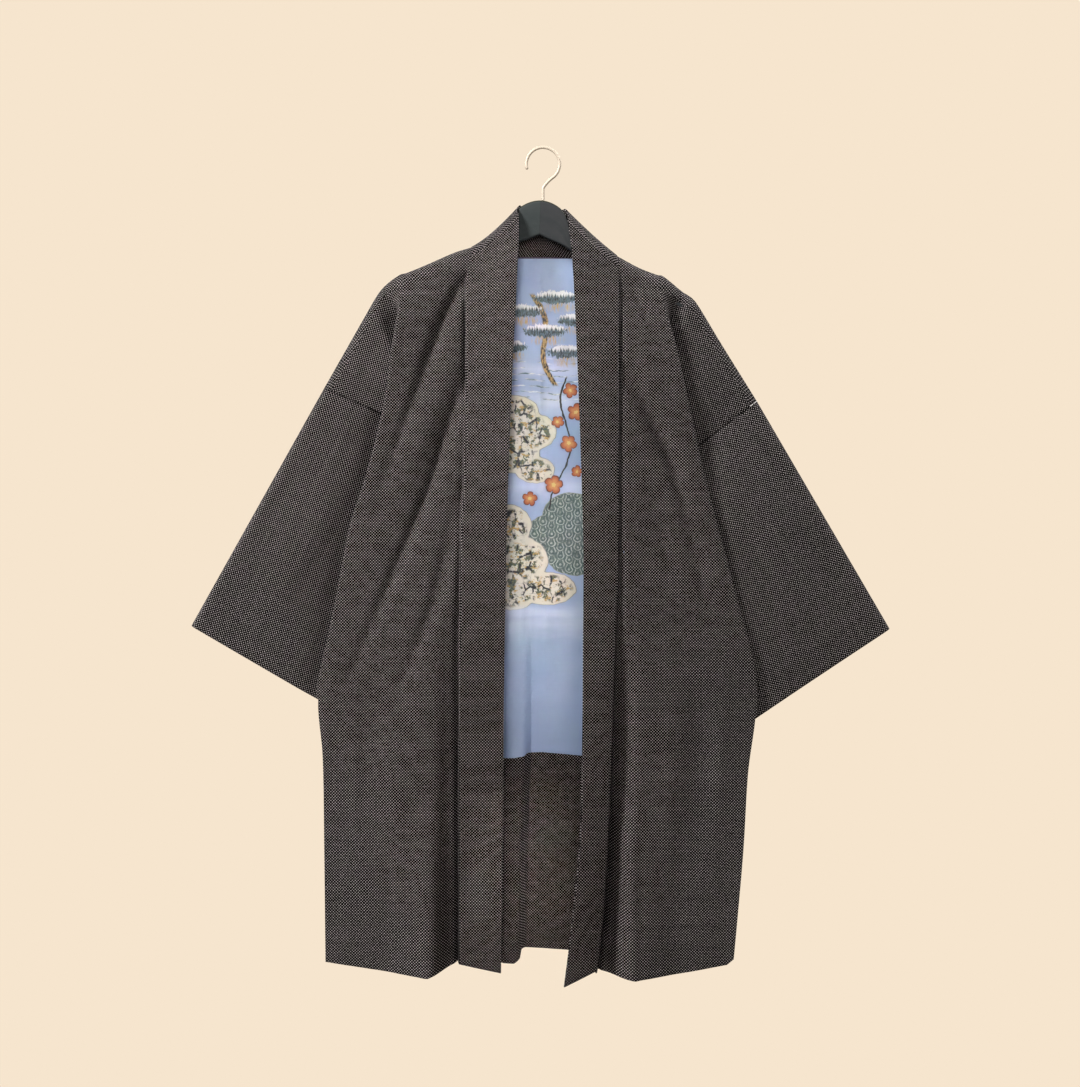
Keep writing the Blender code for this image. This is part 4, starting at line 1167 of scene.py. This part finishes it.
class Nodes:
    """A short way to write a material's nodes."""

    def __init__(self, name):
        self.material = bpy.data.materials.new(name)
        self.material.use_nodes = True
        self.tree = self.material.node_tree
        self.shader = self.tree.nodes["Principled BSDF"]

    def put(self, socket, value):
        if isinstance(value, Value):
            value = value.socket
        if isinstance(value, bpy.types.NodeSocket):
            self.tree.links.new(value, socket)
        else:
            socket.default_value = value

    def add(self, kind, inputs=(), **settings):
        node = self.tree.nodes.new(kind)
        for key, value in settings.items():
            setattr(node, key, value)
        for key, value in dict(inputs).items():
            self.put(node.inputs[key], value)
        return node.outputs

    def math(self, operation, *values):
        return Value(self, self.add("ShaderNodeMath", dict(enumerate(values)), operation=operation)[0])

    def length(self, across, up):
        return self.math("SQRT", across * across + up * up)

    def map(self, value, low, high, to_low=0.0, to_high=1.0, kind="SMOOTHSTEP"):
        inputs = {0: value, 1: low, 2: high, 3: to_low, 4: to_high}
        return Value(self, self.add("ShaderNodeMapRange", inputs, interpolation_type=kind)[0])

    def spread(self, noise, low=0.0, high=1.0):
        """The usual range of a noise, spread from low to high."""
        return self.map(noise, 0.3, 0.7, low, high)

    def blend(self, share, first, second, kind="MIX"):
        inputs = {0: share, 6: first, 7: second}
        return self.add("ShaderNodeMix", inputs, data_type="RGBA", blend_type=kind)[2]

    def noise(self, vector, scale, detail=2, roughness=0.5):
        inputs = {"Vector": vector, "Scale": scale, "Detail": detail, "Roughness": roughness}
        return Value(self, self.add("ShaderNodeTexNoise", inputs)[0])

    def streaks(self, x, y, detail=2, roughness=0.5, seed=0.0):
        """Noise at a place that has been scaled apart in x and y, so that it is drawn out."""
        return self.noise(self.vector(x, y, seed), 1, detail, roughness)

    def vector(self, x, y, z=0.0):
        return self.add("ShaderNodeCombineXYZ", {0: x, 1: y, 2: z})[0]

    def weave(self):
        """The weave coordinates in metres: across the cloth and along it."""
        split = self.add("ShaderNodeSeparateXYZ", {0: self.add("ShaderNodeUVMap", uv_map="weave")[0]})
        return Value(self, split[0]), Value(self, split[1])

    def place(self):
        """The place in the object, in metres."""
        return self.add("ShaderNodeTexCoord")["Object"]

    def finish(self, tone, roughness, height, distance, strength, specular=0.5):
        """Join the material up: its colour, its roughness, and its relief as a bump."""
        bump = self.add("ShaderNodeBump", {"Height": height, "Distance": distance, "Strength": strength})[0]
        sockets = {"Base Color": tone, "Roughness": roughness, "Normal": bump, "Specular IOR Level": specular}
        for name, value in sockets.items():
            self.put(self.shader.inputs[name], value)
        return self.material


def colour(red, green, blue):
    return (red, green, blue, 1)


# The charted weave: pale floats in a staggered lattice on a dark ground. Pitches are in metres, and a float's
# half sizes are shares of its pitches. WOBBLE and DRIFT are how far the lattice strays, HAND_SHAKE how far a
# painter's brush does.
FLOAT_PITCH = 0.0035
ROW_PITCH = 0.00171
FLOAT_HALF = (0.17, 0.235)
FACING_LEVELS = (-0.7305, -0.7295)
# How far from the sleeve seam, in metres, the painted seam shade is strongest and where it has faded out.
SEAM_SHADE_BAND = (0.0030, 0.0044)
WOBBLE = 0.0010
DRIFT = 0.006
HAND_SHAKE = 0.004


def outer_cloth(name="outer_cloth_woven", inner=False, seam_shaded=False):
    """Dark silk with pale floats. The inner one turns to plain lining above the facing's level.

    The seam-shaded one has painted shade: a dark band where the piece's own length begins, standing in for
    the shadow along the sleeve seam.
    """
    n = Nodes(name)
    u, v = n.weave()
    flat = n.vector(u, v)
    wobble = n.noise(flat, 26, 1) * WOBBLE - WOBBLE / 2
    drift = n.noise(flat, 9, 1) * DRIFT - DRIFT / 2
    row_place = (v + (wobble + drift)) / ROW_PITCH
    row = n.math("FLOOR", row_place)
    odd = n.math("MODULO", abs(row), 2)
    place = (u + wobble) / FLOAT_PITCH + odd * 0.5
    column = n.math("FLOOR", place)
    radius = n.length((place - column - 0.5) / FLOAT_HALF[0], (row_place - row - 0.5) / FLOAT_HALF[1])
    pick = n.map(radius, 1.04, 0.86)
    cell = n.add("ShaderNodeTexWhiteNoise", {"Vector": n.vector(column, row)}, noise_dimensions="3D")[0]
    slub = n.streaks(u * 9, v * 420, 2, 0.6)
    slow_slub = n.streaks(u * 3, v * 90, 2, 0.6)
    warp = n.streaks(u * 260, v * 5, 2, 0.6)
    strength = n.spread(slub, 0.89, 1.09) + n.spread(slow_slub, -0.065, 0.065)
    strength = strength * n.map(cell, 0, 1, 0.91, 1.08, "LINEAR") * n.spread(warp, 0.93, 1.05)
    blotch = n.map(n.noise(flat, 55, 3, 0.55), 0.36, 0.64)
    hue = n.blend(blotch, colour(0.55, 0.487, 0.497), colour(0.515, 0.482, 0.457))
    pale = n.blend(1.0, hue, n.vector(strength, strength, strength), "MULTIPLY")
    ground = n.blend(n.spread(slub), colour(0.0035, 0.003, 0.003), colour(0.007, 0.006, 0.0055))
    tone = n.blend(pick, ground, pale)
    height = pick * 0.8 + slub * 0.35
    roughness = n.map(pick, 0, 1, 0.86, 0.66)
    if seam_shaded:
        # Painted shade: a dark band next to the sleeve seam stands in for the seam's shadow.
        painted_seam_shade = n.map(abs(u), *SEAM_SHADE_BAND, 0.22, 1.0)
        tone = n.blend(painted_seam_shade, colour(0.004, 0.0035, 0.0035), tone)
    if inner:
        level = n.add("ShaderNodeSeparateXYZ", {0: n.place()})[2]
        lined = n.map(level, *FACING_LEVELS)
        silk = n.blend(n.spread(n.noise(flat, 14)), colour(0.30, 0.37, 0.56), colour(0.36, 0.43, 0.62))
        tone = n.blend(lined, tone, silk)
        height = height * (1.0 - lined)
    return n.finish(tone, roughness, height, 0.00018, 0.6, 0.08)


class Painting(Nodes):
    """Flat shapes painted one over another, in the cloth's own metres, with a slightly shaking hand."""

    def __init__(self, name):
        super().__init__(name)
        self.u, self.v = self.weave()
        self.flat = self.vector(self.u, self.v)
        aside = self.vector(self.v, self.u, 3.0)
        self.x = self.noise(self.flat, 90) * HAND_SHAKE + (self.u - HAND_SHAKE / 2)
        self.z = self.noise(aside, 90) * HAND_SHAKE + (self.v - HAND_SHAKE / 2)
        self.ground = None

    def paint(self, mask, tone):
        self.ground = self.blend(mask, self.ground, tone)

    def ellipse(self, x, z, half_width, half_height):
        """Less than 1 inside the ellipse."""
        return self.length((self.x - x) / half_width, (self.z - z) / half_height)

    def lobes(self, rows):
        """The outline of several ellipses together, like a drifting cloud."""
        shape = self.ellipse(*rows[0])
        for row in rows[1:]:
            shape = self.math("SMOOTH_MIN", shape, self.ellipse(*row), 0.12)
        return shape

    def inside(self, shape):
        return self.map(shape, 1.02, 0.98)

    def rim(self, shape, width=0.022):
        return self.map(abs(shape - 1.0), width, width * 0.3)

    def grains(self, across, up, low, high, seed=0.0, detail=3):
        """Ragged dabs of the brush, longer along one direction."""
        return self.map(self.streaks(self.x * across, self.z * up, detail, 0.65, seed), low, high)

    def stroke(self, lean, centre, bend, waves, width, high, low):
        """A brush line down the cloth: its sideways place is a line in z plus a slow wave."""
        line = (self.z * lean + centre) + self.math("SINE", self.z * waves) * bend
        within = self.map(self.z, low - 0.002, low + 0.002) * self.map(self.z, high + 0.002, high - 0.002)
        return self.map(abs(self.x - line), width, width * 0.6) * within


INK = colour(0.016, 0.020, 0.024)
PINE = colour(0.050, 0.085, 0.075)
OLIVE = colour(0.17, 0.165, 0.075)
SLATE = colour(0.10, 0.165, 0.215)
MIST = colour(0.70, 0.76, 0.88)
CREAM = colour(0.66, 0.62, 0.49)
OCHRE = colour(0.52, 0.35, 0.13)
RUST = colour(0.48, 0.105, 0.035)
SNOW = colour(0.84, 0.87, 0.90)
PIPING = colour(0.030, 0.012, 0.045)

# Foliage pads and cloud-shaped panels, in metres: x, z and their half sizes.
PADS = (
    (0.016, -0.176, 0.030, 0.0085),
    (-0.026, -0.192, 0.027, 0.0085),
    (0.038, -0.203, 0.022, 0.008),
    (0.002, -0.216, 0.028, 0.0085),
    (-0.038, -0.235, 0.020, 0.008),
    (0.028, -0.241, 0.025, 0.0085),
)
GROVE = (
    (-0.034, -0.318, 0.030, 0.024),
    (-0.012, -0.338, 0.028, 0.022),
    (-0.040, -0.362, 0.036, 0.026),
    (-0.010, -0.384, 0.024, 0.016),
)
WAVES = ((0.034, -0.440, 0.034, 0.028), (0.008, -0.462, 0.030, 0.022), (0.040, -0.486, 0.036, 0.026))
SHORE = (
    (-0.044, -0.452, 0.030, 0.026),
    (-0.030, -0.494, 0.036, 0.030),
    (0.004, -0.528, 0.036, 0.020),
    (-0.040, -0.532, 0.034, 0.022),
)
# Blossoms: x, z and size. Wave scales: radius. Mists: level, height and strength.
BLOSSOMS = (
    (0.033, -0.288, 0.0088),
    (0.040, -0.314, 0.0105),
    (0.018, -0.326, 0.0075),
    (0.031, -0.352, 0.0098),
    (0.013, -0.402, 0.0112),
    (0.041, -0.386, 0.0070),
    (-0.016, -0.419, 0.0088),
)
SCALE_RADIUS = 0.0105
MISTS = ((-0.262, 0.02, 0.55), (-0.302, 0.03, 0.6), (-0.405, 0.03, 0.5), (-0.572, 0.028, 0.4))
LOW_MIST = (-0.556, 0.016, 0.5)
PIPING_LEVELS = (-0.1297, -0.1291)


def paint_pines(p):
    """A leaning pine: a trunk with pads of needles, snow on their tops and gold under them."""
    trunk = p.stroke(-0.28, -0.062, 0.008, 55, 0.0042, -0.172, -0.282)
    p.paint(trunk, p.blend(p.grains(500, 180, 0.4, 0.6), INK, OCHRE))
    for x, z, half_width, half_height in PADS:
        glow = p.ellipse(x + 0.003, z - 0.011, half_width * 0.8, half_height * 1.1)
        p.paint(p.map(glow, 1.1, 0.3) * p.grains(420, 60, 0.42, 0.62, x), OCHRE)
    for x, z, half_width, half_height in PADS:
        ragged = p.grains(520, 230, 0.2, 0.8, z, 4) * 0.55 + p.ellipse(x, z, half_width, half_height)
        pad = p.map(ragged, 1.22, 1.12)
        dark = p.blend(p.grains(300, 150, 0.4, 0.6), PINE, INK)
        p.paint(pad, p.blend(p.grains(640, 260, 0.40, 0.60, x), SLATE, dark))
        snow = p.map(p.z + p.grains(420, 0, 0.3, 0.7, z) * 0.006, z + 0.004, z + 0.0075)
        p.paint(pad * snow, SNOW)


def paint_ripples(p, high, low):
    """Fine lines of running water between two heights."""
    phase = p.math("SINE", p.x * 75) * 1.9 + p.z * 880
    lines = p.map(p.math("SINE", phase), 0.55, 0.95)
    band = p.map(p.z, low, low + 0.01) * p.map(p.z, high, high - 0.01) * p.grains(40, 90, 0.42, 0.56)
    p.paint(band * lines, p.blend(p.grains(60, 300, 0.4, 0.6), SLATE, SNOW))


def paint_panel(p, rows, seed):
    """A cloud-shaped cream panel with ink rocks, olive growth and touches of gold."""
    shape = p.lobes(rows)
    p.paint(p.inside(shape), p.blend(p.noise(p.flat, 45), CREAM, colour(0.74, 0.72, 0.63)))
    core = p.map(shape + p.noise(p.flat, 60, 3) * 0.7, 1.24, 1.06)
    growth = p.blend(p.grains(500, 420, 0.42, 0.6, seed), OLIVE, PINE)
    p.paint(core * p.grains(120, 95, 0.50, 0.56, seed), growth)
    p.paint(core * p.grains(110, 170, 0.55, 0.62, seed + 4), OCHRE)
    inputs = {"Vector": p.vector(p.x, p.z * 0.75, seed), "Scale": 75, "Randomness": 1.0}
    rocks = p.add("ShaderNodeTexVoronoi", inputs, feature="DISTANCE_TO_EDGE")[0]
    p.paint(core * p.map(rocks, 0.09, 0.03) * p.grains(75, 75, 0.44, 0.54, seed + 9), INK)
    p.paint(core * p.grains(170, 620, 0.60, 0.66, seed + 2, 4), INK)
    p.paint(p.rim(shape), colour(0.30, 0.30, 0.27))


def paint_scales(p, rows):
    """A cloud-shaped teal panel of overlapping wave scales, each with three pale arcs."""
    shape = p.lobes(rows)
    panel = p.inside(shape)
    ground = p.grains(260, 230, 0.4, 0.6)
    p.paint(panel, p.blend(ground, colour(0.060, 0.105, 0.105), colour(0.115, 0.165, 0.150)))
    place = p.z / (SCALE_RADIUS / 2)
    row = p.math("FLOOR", place)
    arcs = None
    for step in (1, 0, -1):
        centre_row = row - step
        column = p.math("MODULO", abs(centre_row), 2) * 0.5 + p.x / (SCALE_RADIUS * 2)
        radius = p.length((p.math("FRACT", column) - 0.5) * 2, (place - centre_row) / 2)
        rings = p.map(p.math("SINE", radius * 19), 0.1, 0.75)
        under = p.map(radius, 1.02, 0.98)
        arcs = arcs + (rings - arcs) * under if arcs else rings * under
    p.paint(panel * arcs * p.grains(120, 120, 0.3, 0.6), colour(0.40, 0.47, 0.44))
    p.paint(p.rim(shape), colour(0.24, 0.27, 0.25))


def paint_blossoms(p):
    """Five-petalled plum blossoms on a thin bough."""
    p.paint(p.stroke(0.10, 0.060, 0.009, 48, 0.0013, -0.272, -0.432), INK)
    for x, z, size in BLOSSOMS:
        across, up = p.x - x, p.z - z
        angle = p.math("ARCTAN2", up, across) + x * 90
        petals = p.math("POWER", abs(p.math("COSINE", angle * 2.5)), 0.55)
        radius = p.length(across, up) / (petals * (0.38 * size) + 0.62 * size)
        tone = p.blend(p.map(radius, 0.35, 0.95), colour(0.62, 0.25, 0.08), RUST)
        p.paint(p.map(radius, 1.04, 0.96), tone)
        p.paint(p.rim(radius, 0.10), colour(0.16, 0.05, 0.03))
        p.paint(p.map(radius, 0.30, 0.20), colour(0.75, 0.55, 0.18))


def paint_mist(p, level, height, strength):
    drift = p.streaks(p.u * 14, p.v * 60) * height
    p.paint(p.map(abs(p.v - level) + drift, height * 1.35, height * 0.3) * strength, MIST)


def lining_silk():
    """Periwinkle silk with a painted design of a pine, blossoms, wave scales and clouds."""
    p = Painting("lining_silk")
    p.ground = p.blend(p.spread(p.noise(p.flat, 7)), colour(0.305, 0.408, 0.635), colour(0.35, 0.455, 0.665))
    for mist in MISTS:
        paint_mist(p, *mist)
    paint_ripples(p, -0.246, -0.306)
    paint_pines(p)
    paint_panel(p, GROVE, 2.0)
    paint_scales(p, WAVES)
    paint_panel(p, SHORE, 7.0)
    paint_blossoms(p)
    paint_mist(p, *LOW_MIST)
    p.paint(p.map(p.v, *PIPING_LEVELS), PIPING)
    weft = p.streaks(p.u * 60, p.v * 1400)
    return p.finish(p.ground, p.spread(weft, 0.42, 0.5), weft, 0.00004, 0.5, 0.35)


def hanger_lacquer():
    """Dark satin lacquer, painted a shade darker and warmer on the right half as painted shade, with a
    painted dark olive reflection along the top rim.
    """
    n = Nodes("hanger_lacquer")
    along, down = n.weave()
    place = n.place()
    drift = n.spread(n.streaks(along * 9, down * 60, 3))
    # Painted shade: the right half is painted darker than the left, as the light falls from the upper left.
    left = n.blend(drift, colour(0.036, 0.044, 0.044), colour(0.047, 0.055, 0.054))
    right = n.blend(drift, colour(0.032, 0.036, 0.0375), colour(0.042, 0.044, 0.0455))
    tone = n.blend(n.map(along, -0.001, 0.001), left, right)
    seam = n.map(abs(along), 0.0009, 0.0002)
    tone = n.blend(seam * 0.28, tone, colour(0.020, 0.020, 0.019))
    # Painted reflection: a dark olive band along the top rim stands in for the rounded top reflecting the
    # dark room.
    tone = n.blend(n.map(down, -0.0024, -0.0012), tone, colour(0.016, 0.018, 0.009))
    worn = n.noise(place, 700, 3) - seam * 0.8
    return n.finish(tone, n.spread(n.noise(place, 160, 4), 0.5, 0.64), worn, 0.0001, 0.5, 0.12)


def hook_metal():
    """Polished wire whose pale warm base colour is a painted reflection of the room."""
    n = Nodes("hook_painted_reflection")
    place = n.place()
    # Painted reflection: the base colour is the pale warm tone of the room that the wire would reflect.
    tone = n.blend(n.spread(n.noise(place, 90, 3)), colour(0.60, 0.51, 0.40), colour(0.66, 0.57, 0.45))
    n.shader.inputs["Metallic"].default_value = 0.2
    return n.finish(tone, n.spread(n.noise(place, 900), 0.5, 0.6), n.noise(place, 1500), 0.00002, 0.4)


def tacking_thread():
    """White cotton with a slight twist."""
    n = Nodes("tacking_cotton")
    fibre = n.noise(n.place(), 2600)
    tone = n.blend(n.spread(fibre), colour(0.72, 0.70, 0.66), colour(0.88, 0.87, 0.84))
    return n.finish(tone, n.spread(fibre, 0.8, 0.9), fibre, 0.00008, 0.6)


# The pieces.

OUTER = outer_cloth()
# The sleeves' cloth, with a painted shade band along the sleeve seam.
SEAM_SHADED = outer_cloth("outer_cloth_seam_shaded", seam_shaded=True)
INNER = outer_cloth("inner_side", inner=True)


def dress(node, name, patches, wall, materials, sign=1, out=(0, -1, 0)):
    add_sheet(name, node, patches, wall, materials, sign, out)


for half in (LEFT, RIGHT):
    for part, patches, face_side, out in (
        ("body", body_patches(half), OUTER, (0, -1, 0)),
        ("sleeve", [sleeve_patch(half)], SEAM_SHADED, (0, -1, 0)),
        ("gore", [gore_patch(half)], OUTER, (half.sign, 0, 0)),
    ):
        node = f"{part}_{half.name}"
        dress(node, f"{node}_cloth", patches, CLOTH_WALL, (face_side, INNER), sign=half.sign, out=out)

dress("collar", "collar_band", collar_patches(), COLLAR_WALL, (OUTER,))
dress("back_lining", "back_lining_silk", [lining_patch()], LINING_WALL, (lining_silk(),))
dress("back_facing", "back_facing_cloth", [facing_patch()], LINING_WALL, (OUTER,))
add_stitches("tacking_stitches", RIGHT, tacking_thread())
add_solid("hanger_bar", "hanger", hanger_patch(), hanger_lacquer())
add_solid("hook_wire", "hook", hook_patch(), hook_metal())

# Floor, world, light and camera, in metres.

BACKDROP = colour(0.922, 0.783, 0.617)
FLOOR_HALF_WIDTH = 1.6
FLOOR_NEAR = -1.6
FLOOR_FAR = 0.55
FLOOR_LEVEL = -1.32
LIT_STRENGTH = 0.07


def add_floor():
    mesh = bpy.data.meshes.new("floor")
    near = [(x, FLOOR_NEAR, FLOOR_LEVEL) for x in (-FLOOR_HALF_WIDTH, FLOOR_HALF_WIDTH)]
    far = [(x, FLOOR_FAR, FLOOR_LEVEL) for x in (FLOOR_HALF_WIDTH, -FLOOR_HALF_WIDTH)]
    mesh.from_pydata(near + far, [], [(0, 1, 2, 3)])
    n = Nodes("floor_pale")
    tone = n.blend(n.noise(n.place(), 3), colour(0.26, 0.225, 0.18), colour(0.30, 0.265, 0.22))
    n.put(n.shader.inputs["Base Color"], tone)
    n.shader.inputs["Roughness"].default_value = 0.9
    mesh.materials.append(n.material)
    floor = bpy.data.objects.new("floor", mesh)
    bpy.context.scene.collection.objects.link(floor)
    floor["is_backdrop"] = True


def set_world():
    """The camera sees the backdrop's colour, and the rest of the scene a faint even light."""
    world = bpy.data.worlds.new("studio")
    bpy.context.scene.world = world
    world.use_nodes = True
    tree = world.node_tree
    seen = tree.nodes["Background"]
    seen.inputs["Color"].default_value = BACKDROP
    lit = tree.nodes.new("ShaderNodeBackground")
    lit.inputs["Color"].default_value = colour(1.0, 0.97, 0.94)
    lit.inputs["Strength"].default_value = LIT_STRENGTH
    path = tree.nodes.new("ShaderNodeLightPath")
    chosen = tree.nodes.new("ShaderNodeMixShader")
    tree.links.new(path.outputs["Is Camera Ray"], chosen.inputs[0])
    tree.links.new(lit.outputs[0], chosen.inputs[1])
    tree.links.new(seen.outputs[0], chosen.inputs[2])
    tree.links.new(chosen.outputs[0], tree.nodes["World Output"].inputs["Surface"])


def add_light(name, place, aim, size, power, tint, spread):
    light = bpy.data.lights.new(name, "AREA")
    light.shape = "RECTANGLE"
    light.size, light.size_y = size
    light.energy = power
    light.color = tint
    light.spread = math.radians(spread)
    obj = bpy.data.objects.new(name, light)
    obj.location = place
    way = np.array(aim, float) - np.array(place, float)
    lean = math.atan2(math.hypot(way[0], way[1]), -way[2])
    obj.rotation_euler = (lean, 0, math.atan2(way[1], way[0]) - math.pi / 2)
    bpy.context.scene.collection.objects.link(obj)


# Name, place, what it is aimed at, size, watts, tint and spread in degrees. The two narrow ones reach in
# through the front opening.
WHITE = (1.0, 0.98, 0.97)
LIGHTS = (
    ("key", (-1.7, -1.3, 1.4), (0, 0, -0.5), (0.6, 0.6), 119, (1.0, 0.98, 0.98), 180),
    ("front", (-0.1, -2.9, 0.2), (0, 0, -0.5), (0.9, 0.9), 33, WHITE, 180),
    ("opening", (-0.12, -2.9, -0.42), (-0.004, 0, -0.42), (0.04, 0.56), 0.064, WHITE, 2.5),
    ("opening_foot", (-0.14, -2.9, -0.86), (-0.028, 0, -0.86), (0.04, 0.2), 0.068, WHITE, 2.5),
    ("edge", (1.5, 0.15, 1.2), (0.3, 0, -0.4), (0.7, 0.7), 44, WHITE, 180),
    ("rim", (0.3, 1.8, 0.9), (0, 0, -0.4), (1.6, 1.0), 10, (1.0, 0.98, 0.96), 180),
)

CAMERA_PLACE = (-0.0036, -3.0, -0.4734)
FRAME_ROWS = 1087
ROW_HEIGHT = 0.0012
FRAME_HEIGHT = FRAME_ROWS * ROW_HEIGHT
SENSOR_HEIGHT = 24


def add_camera():
    """A camera level with the garment's middle, whose frame is FRAME_HEIGHT high at the hanger."""
    data = bpy.data.cameras.new("camera")
    data.sensor_fit = "VERTICAL"
    data.sensor_height = SENSOR_HEIGHT
    data.lens = SENSOR_HEIGHT * -CAMERA_PLACE[1] / FRAME_HEIGHT
    camera = bpy.data.objects.new("camera", data)
    camera.location = CAMERA_PLACE
    camera.rotation_euler = (math.radians(90), 0, 0)
    bpy.context.scene.collection.objects.link(camera)
    bpy.context.scene.camera = camera


add_floor()
set_world()
for row in LIGHTS:
    add_light(*row)
add_camera()
bpy.context.scene.view_settings.view_transform = "Standard"
bpy.context.scene.view_settings.look = "None"

boxes = {"cad": CAD_BOX, "visual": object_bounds()}
{name: [list(corner) for corner in box] for name, box in boxes.items()}
